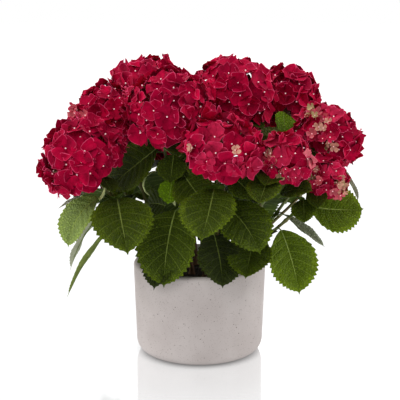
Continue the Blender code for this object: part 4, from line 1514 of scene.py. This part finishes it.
def floret_model(form, bead):
    """A floret of unit radius: four broad sepals round a small bud."""
    sepals = []
    for quarter in range(SEPALS):
        sepal, where = add_grid(len(ACROSS), len(RADIAL))
        uneven = 0.10 * math.sin(quarter * 2.3)
        turn = Matrix.Rotation(math.tau * quarter / SEPALS + uneven, 3, "Z")
        for vertex, (i, j) in zip(sepal.data.vertices, where):
            vertex.co = turn @ sepal_point(ACROSS[i], RADIAL[j], form, quarter)
        for face in sepal.data.polygons:
            i, j = cell(face, where)
            edge = i in (0, len(ACROSS) - 2) and j > 0 or j == len(RADIAL) - 2
            face.material_index = RIM_FACE if edge else SEPAL_FACE
        face_up(sepal.data)
        add_slots(sepal, 3)
        sepals.append(sepal)
    deselect()
    bpy.ops.mesh.primitive_uv_sphere_add(segments=5, ring_count=3, radius=bead,
                                         location=(0, 0, 0.05 + bead * 0.5))
    bud = bpy.context.active_object
    add_slots(bud, 3)
    for face in bud.data.polygons:
        face.material_index = BEAD_FACE
    for sepal in sepals:
        sepal.select_set(True)
    bpy.ops.object.join()
    bpy.ops.object.transform_apply(location=True, rotation=True, scale=True)
    return Model(bud)


def sepal_materials(settings):
    """For each tint its sepals, then its rims with a soft and with a bright painted highlight; last of all
    the small bud, whose glow is a painted glint.
    """
    materials = []
    for tint, (deep, pale, young, sage) in SEPAL_TINTS.items():
        body = blend_colours(settings.crimson, settings.deep, deep)
        body = blend_colours(body, settings.rim, pale)
        body = blend_colours(body, settings.young, young)
        body = blend_colours(body, settings.sage, sage)
        velvet = mottled("sepal_" + tint, body, scaled(body, 0.62), "sepal")
        set_values(velvet.node_tree.nodes["Principled BSDF"], {**SHEEN, "Sheen Tint": (*settings.rim, 1.0)})
        materials.append(velvet)
        for kind, share in RIM_SHARES.items():
            rim = blend_colours(body, settings.rim, share)
            second = blend_colours(rim, body, 0.6)
            materials.append(mottled(f"sepal_rim_{kind}_{tint}", rim, second, "sepal_rim"))
    bead = mottled("floret_bead", settings.bead, scaled(settings.bead, 0.8))
    # The bud glows in its own colour, a painted glint.
    set_values(bead.node_tree.nodes["Principled BSDF"],
               {"Emission Color": (*settings.bead, 1.0), "Emission Strength": BEAD_PAINTED_GLINT})
    return materials + [bead]


class Floret(NamedTuple):
    """A floret's place on its head."""
    middle: Vector
    normal: Vector
    spin: float
    radius: float
    form: tuple
    tint: str

    def points(self, model, rng):
        """The model's points, ruffled in its own way and set in place."""
        points = model.points.copy()
        out = np.minimum(np.hypot(points[:, 0], points[:, 1]), 1.0)
        for height, turns in RUFFLES:
            way = rng.uniform(0, math.tau)
            along = points[:, 0] * math.cos(way) + points[:, 1] * math.sin(way)
            points[:, 2] += height * out ** 1.5 * np.sin(turns * along + rng.uniform(0, math.tau))
        turn = self.normal.to_track_quat("Z", "Y").to_matrix() @ Matrix.Rotation(self.spin, 3, "Z")
        return points @ np.array(turn).T * self.radius + np.array(self.middle)

    def slots(self, model, rng):
        """Material slots by face; a sepal may differ in tint, and its rim may be plain or carry a soft or a
        bright painted highlight.
        """
        tints = list(SEPAL_TINTS)
        slots = np.full(len(model.slots), len(tints) * TINT_FINISHES)
        bud = len(slots) - SEPALS * SEPAL_CELLS
        for quarter in range(SEPALS):
            tint = self.tint
            if tint in PLAIN_TINTS and rng.random() < ODD_SEPALS:
                tint = rng.choice(PLAIN_TINTS)
            first = tints.index(tint) * TINT_FINISHES
            edge = first + rng.choices(range(TINT_FINISHES), RIM_CHANCES)[0]
            sepal = slice(bud + quarter * SEPAL_CELLS, bud + (quarter + 1) * SEPAL_CELLS)
            slots[sepal] = np.where(model.slots[sepal] == RIM_FACE, edge, first)
        return slots


def strayed(rng, size):
    """A small random step in every direction."""
    return Vector([stray(rng, size) for _ in range(3)])


def head_florets(name, settings):
    """Florets spread over a head by the golden angle, leaving out those inside another head."""
    route = ROUTES[name]
    rng = random.Random("florets of " + name)
    look = PLAIN_HEAD | HEAD_FLORETS.get(name, {})
    radius = look["radius"]
    moved = Vector((look["aside"], 0.0, look["raised"]))
    spots = [Vector(spot).normalized() for spot in YOUNG_SPOTS.get(name, ())]
    drop = 1 - look["lowest"]
    cover = 2 * math.pi * route.width * (route.width + route.height) / 2 * drop
    count = round(cover / (settings.cover * radius * radius))
    first = route.axis.orthogonal().normalized()
    second = route.axis.cross(first)
    start = rng.uniform(0, math.tau)
    florets = []
    for i in range(count):
        rise = 1 - drop * (i + 0.5) / count
        turn = start + i * math.pi * (3 - math.sqrt(5))
        flat = math.sqrt(1 - rise * rise)
        outward = (first * math.cos(turn) + second * math.sin(turn)) * flat + route.axis * rise
        outward = (outward + strayed(rng, OUTWARD_STRAY)).normalized()
        middle = route.on_head(outward, rng.uniform(*DEPTHS) * look["reach"])
        middle -= route.axis * (middle - route.centre).dot(route.axis) * (1 - look["flatness"])
        middle += moved + Vector((look["sway"] * (middle.z - route.centre.z), 0.0, 0.0))
        normal = outward * OUTWARD_PULL + (middle - route.centre).normalized() * CENTRE_PULL
        normal += route.axis * max(0.0, -outward.dot(route.axis)) * AXIS_PULL
        normal += strayed(rng, NORMAL_STRAY)
        normal.normalize()
        crowded = any(outward.dot(spot) > YOUNG_SPREAD for spot in spots)
        young = crowded or rng.random() < look["young"]
        if any(other.depth_of(middle) < OVERLAP for key, other in ROUTES.items() if key != name):
            continue
        for number in range(CROWD if young else 1):
            spin = rng.uniform(0, math.tau)
            if young and number == 0:
                tint = rng.choice(("ruby", "rose"))
                place = middle - outward * radius * 0.30
                size = radius * CROWDED_SIZE
                form = rng.randrange(len(OPEN_FORMS))
            elif young:
                tint = rng.choices(YOUNG_TINTS, YOUNG_WEIGHTS.get(name, PLAIN_YOUNG_WEIGHTS))[0]
                place = middle + Vector([stray(rng, CROWD_SPREAD) * radius for _ in range(3)])
                place += outward * radius * 0.10
                size = radius * rng.uniform(*YOUNG_SIZES)
                form = rng.randrange(len(YOUNG_FORMS))
            else:
                tint = rng.choices(OPEN_TINTS, TINT_WEIGHTS.get(name, PLAIN_WEIGHTS))[0]
                place = middle
                size = radius * rng.uniform(*OPEN_SIZES)
                form = rng.randrange(len(OPEN_FORMS))
            florets.append(Floret(place, normal, spin, size, (young and number > 0, form), tint))
    for bud in BUDS.get(name, ()):
        outward = Vector(bud).normalized()
        place = route.on_head(outward, look["reach"]) + moved
        spin = rng.uniform(0, math.tau)
        florets.append(Floret(place, outward, spin, radius * BUD_SIZE, (True, 1), "cream"))
    return florets


class HYDRANGEA_OT_florets(bpy.types.Operator):
    """Model the florets and set copies of them round every flower head, each on its stalk"""
    bl_idname = "hydrangea.florets"
    bl_label = "Florets"

    HUB_DEPTH = 0.25  # where a head's stalks meet, as a share of its height
    STALK_OVERLAP = 0.002
    STALK_STEPS = 6
    PEDICEL_STEPS = 4

    def execute(self, context):
        settings = context.scene.hydrangea_floret
        stems = context.scene.hydrangea_stem
        models = {}
        for young, forms, bead in ((False, OPEN_FORMS, OPEN_BEAD), (True, YOUNG_FORMS, YOUNG_BEAD)):
            for number, form in enumerate(forms):
                models[(young, number)] = floret_model(form, bead)
        materials = sepal_materials(settings)
        pedicel = tube_model(3, self.PEDICEL_STEPS)
        stalk = tube_model(6, self.STALK_STEPS)
        stalks = Sheaf()
        for piece, heads in FLORET_PIECES.items():
            sheaf = Sheaf()
            for name in heads:
                route = ROUTES[name]
                rng = random.Random("ruffles of " + name)
                hub = self.add_stalk(stalks, stalk, route)
                for floret in head_florets(name, settings):
                    model = models[floret.form]
                    sheaf.add(model, floret.points(model, rng), floret.slots(model, rng))
                    self.add_pedicel(stalks, pedicel, route, hub, floret, stems.pedicel)
            sheaf.finish(piece, "sepals", ["bloom_" + name for name in heads], materials, 70)
        pale = blend_colours(stems.green, settings.young, 0.5)
        stalks.finish("pedicels", "sepals", ["bloom_" + name for name in ROUTES],
                      [mottled("pedicel", pale, blend_colours(pale, settings.crimson, 0.4))])
        return {"FINISHED"}

    def add_stalk(self, stalks, model, route):
        """The head's own stalk, from the end of the shoot to the hub where the florets' stalks meet."""
        hub = route.at(route.length - route.height * self.HUB_DEPTH)
        foot = route.at(route.length - route.height * STALK_DEPTH - self.STALK_OVERLAP)
        steps = range(self.STALK_STEPS + 1)
        line = [foot.lerp(hub, i / self.STALK_STEPS) for i in steps]
        stalks.add_tube(model, line, [SHOOT_TIP_RADIUS * (1 - 0.05 * i) for i in steps])
        return hub

    def add_pedicel(self, stalks, model, route, hub, floret, radius):
        """A floret's stalk, which bends up from the hub and meets the floret's back."""
        back = floret.middle - floret.normal * floret.radius * 0.02
        bend = hub.lerp(back, 0.55) + route.axis * route.height * 0.12
        controls = (hub, bend, back - floret.normal * 0.008, back)
        steps = range(self.PEDICEL_STEPS + 1)
        line = [bezier(controls, i / self.PEDICEL_STEPS) for i in steps]
        stalks.add_tube(model, line, [radius * (1.7 - 0.2 * i) for i in steps])


class HYDRANGEA_OT_stage(bpy.types.Operator):
    """Lay the floor and set the lights and the camera"""
    bl_idname = "hydrangea.stage"
    bl_label = "Stage"

    FLOOR_DROP = 0.0002
    FLOOR_COAT = {"Coat IOR": 3.2, "Coat Roughness": 0.10}
    # What fades with the distance from the pot: where it starts and ends, and its values there. The glow's
    # colour fades near the pot's foot as a painted contact shadow.
    FLOOR_FADES = {
        "Coat Weight": (0.12, 0.34, 1.0, 0.30),
        "Emission Color": (0.085, 0.114, 0.2, 1.0),
    }
    # Place, width and power of each light.
    LIGHTS = {
        "key": ((-1.0, -1.5, 1.9), 1.1, 12.0),
        "left": ((-1.9, 0.3, 0.9), 1.2, 12.0),
        "right": ((1.9, 0.1, 0.9), 1.2, 13.5),
        "top": ((0.1, 0.4, 2.3), 1.6, 14.0),
        "back": ((0.2, 1.9, 1.5), 1.6, 18.0),
    }
    LIGHT_AIM = Vector((0, 0, 0.28))
    CAMERA_ASIDE = 0.0008

    def execute(self, context):
        settings = context.scene.hydrangea_stage
        deselect()
        bpy.ops.mesh.primitive_plane_add(size=settings.floor_size, location=(0, 0, -self.FLOOR_DROP))
        floor = active_piece("floor")
        floor.data.materials.append(self.floor_material(settings))
        self.add_world(context, settings)
        for name, (place, size, power) in self.LIGHTS.items():
            self.add_light(name, place, size, power)
        self.add_camera(context, settings)
        context.scene.view_settings.view_transform = "Standard"
        context.scene.view_settings.look = "None"
        return {"FINISHED"}

    def add_world(self, context, settings):
        """A white background that lights the plant less than it shines in view."""
        world = bpy.data.worlds.new("studio")
        world.use_nodes = True
        context.scene.world = world
        tree = world.node_tree
        sky = tree.nodes["Background"]
        set_values(sky, {"Color": (1.0, 1.0, 1.0, 1.0)})
        path = add_node(tree, "LightPath")
        strength = add_node(tree, "MapRange", {"To Min": settings.surround, "To Max": 1.0})
        seen = add_node(tree, "Math", operation="MAXIMUM")
        wire(tree, (path, "Is Camera Ray", seen, 0), (path, "Is Glossy Ray", seen, 1),
             (seen, 0, strength, "Value"), (strength, "Result", sky, "Strength"))

    def floor_material(self, settings):
        """A pale floor that mirrors the pot near its foot and has a painted shadow there, where its glow
        fades.
        """
        material = mottled("floor", settings.floor, settings.floor)
        tree = material.node_tree
        shader = tree.nodes["Principled BSDF"]
        set_values(shader, {**self.FLOOR_COAT, "Emission Strength": settings.glow})
        place = add_node(tree, "TexCoord")
        away = add_node(tree, "VectorMath", operation="LENGTH")
        wire(tree, (place, "Object", away, 0))
        for socket, (near, far, near_value, far_value) in self.FLOOR_FADES.items():
            fade = add_node(tree, "MapRange", interpolation_type="SMOOTHSTEP")
            set_values(fade, {"From Min": near, "From Max": far, "To Min": near_value, "To Max": far_value})
            wire(tree, (away, "Value", fade, "Value"), (fade, "Result", shader, socket))
        return material

    def add_light(self, name, place, size, power):
        light = bpy.data.lights.new(name, "AREA")
        light.shape = "DISK"
        light.size = size
        light.energy = power
        item = bpy.data.objects.new(name, light)
        bpy.context.scene.collection.objects.link(item)
        item.location = place
        aim = self.LIGHT_AIM - Vector(place)
        item.rotation_euler = aim.to_track_quat("-Z", "Y").to_euler()

    def add_camera(self, context, settings):
        camera = bpy.data.cameras.new("camera")
        camera.sensor_width = 36.0
        camera.lens = settings.focal
        item = bpy.data.objects.new("camera", camera)
        context.scene.collection.objects.link(item)
        rise = settings.elevation
        item.location = (self.CAMERA_ASIDE, -settings.distance * math.cos(rise),
                         settings.aim + settings.distance * math.sin(rise))
        item.rotation_euler = (math.pi / 2 - rise, 0.0, 0.0)
        context.scene.camera = item


class HYDRANGEA_PT_panel(bpy.types.Panel):
    """The steps that make the plant, in order"""
    bl_label = "Hydrangea"
    bl_idname = "HYDRANGEA_PT_panel"
    bl_space_type = "VIEW_3D"
    bl_region_type = "UI"
    bl_category = "Hydrangea"

    def draw(self, context):
        for step in STEPS:
            self.layout.operator(step.bl_idname)


SETTINGS = {
    "hydrangea_pot": PotSettings,
    "hydrangea_stem": StemSettings,
    "hydrangea_leaf": LeafSettings,
    "hydrangea_floret": FloretSettings,
    "hydrangea_stage": StageSettings,
}
STEPS = (
    HYDRANGEA_OT_pot,
    HYDRANGEA_OT_compost,
    HYDRANGEA_OT_canes,
    HYDRANGEA_OT_shoots,
    HYDRANGEA_OT_leaves,
    HYDRANGEA_OT_florets,
    HYDRANGEA_OT_stage,
)


def register():
    for group in (*SETTINGS.values(), *STEPS, HYDRANGEA_PT_panel):
        bpy.utils.register_class(group)
    for name, group in SETTINGS.items():
        setattr(bpy.types.Scene, name, PointerProperty(type=group))


def unregister():
    for name in SETTINGS:
        delattr(bpy.types.Scene, name)
    for group in (HYDRANGEA_PT_panel, *reversed(STEPS), *SETTINGS.values()):
        bpy.utils.unregister_class(group)


def main():
    register()
    for step in STEPS:
        family, name = step.bl_idname.split(".")
        getattr(getattr(bpy.ops, family), name)()


if __name__ == "__main__":
    main()
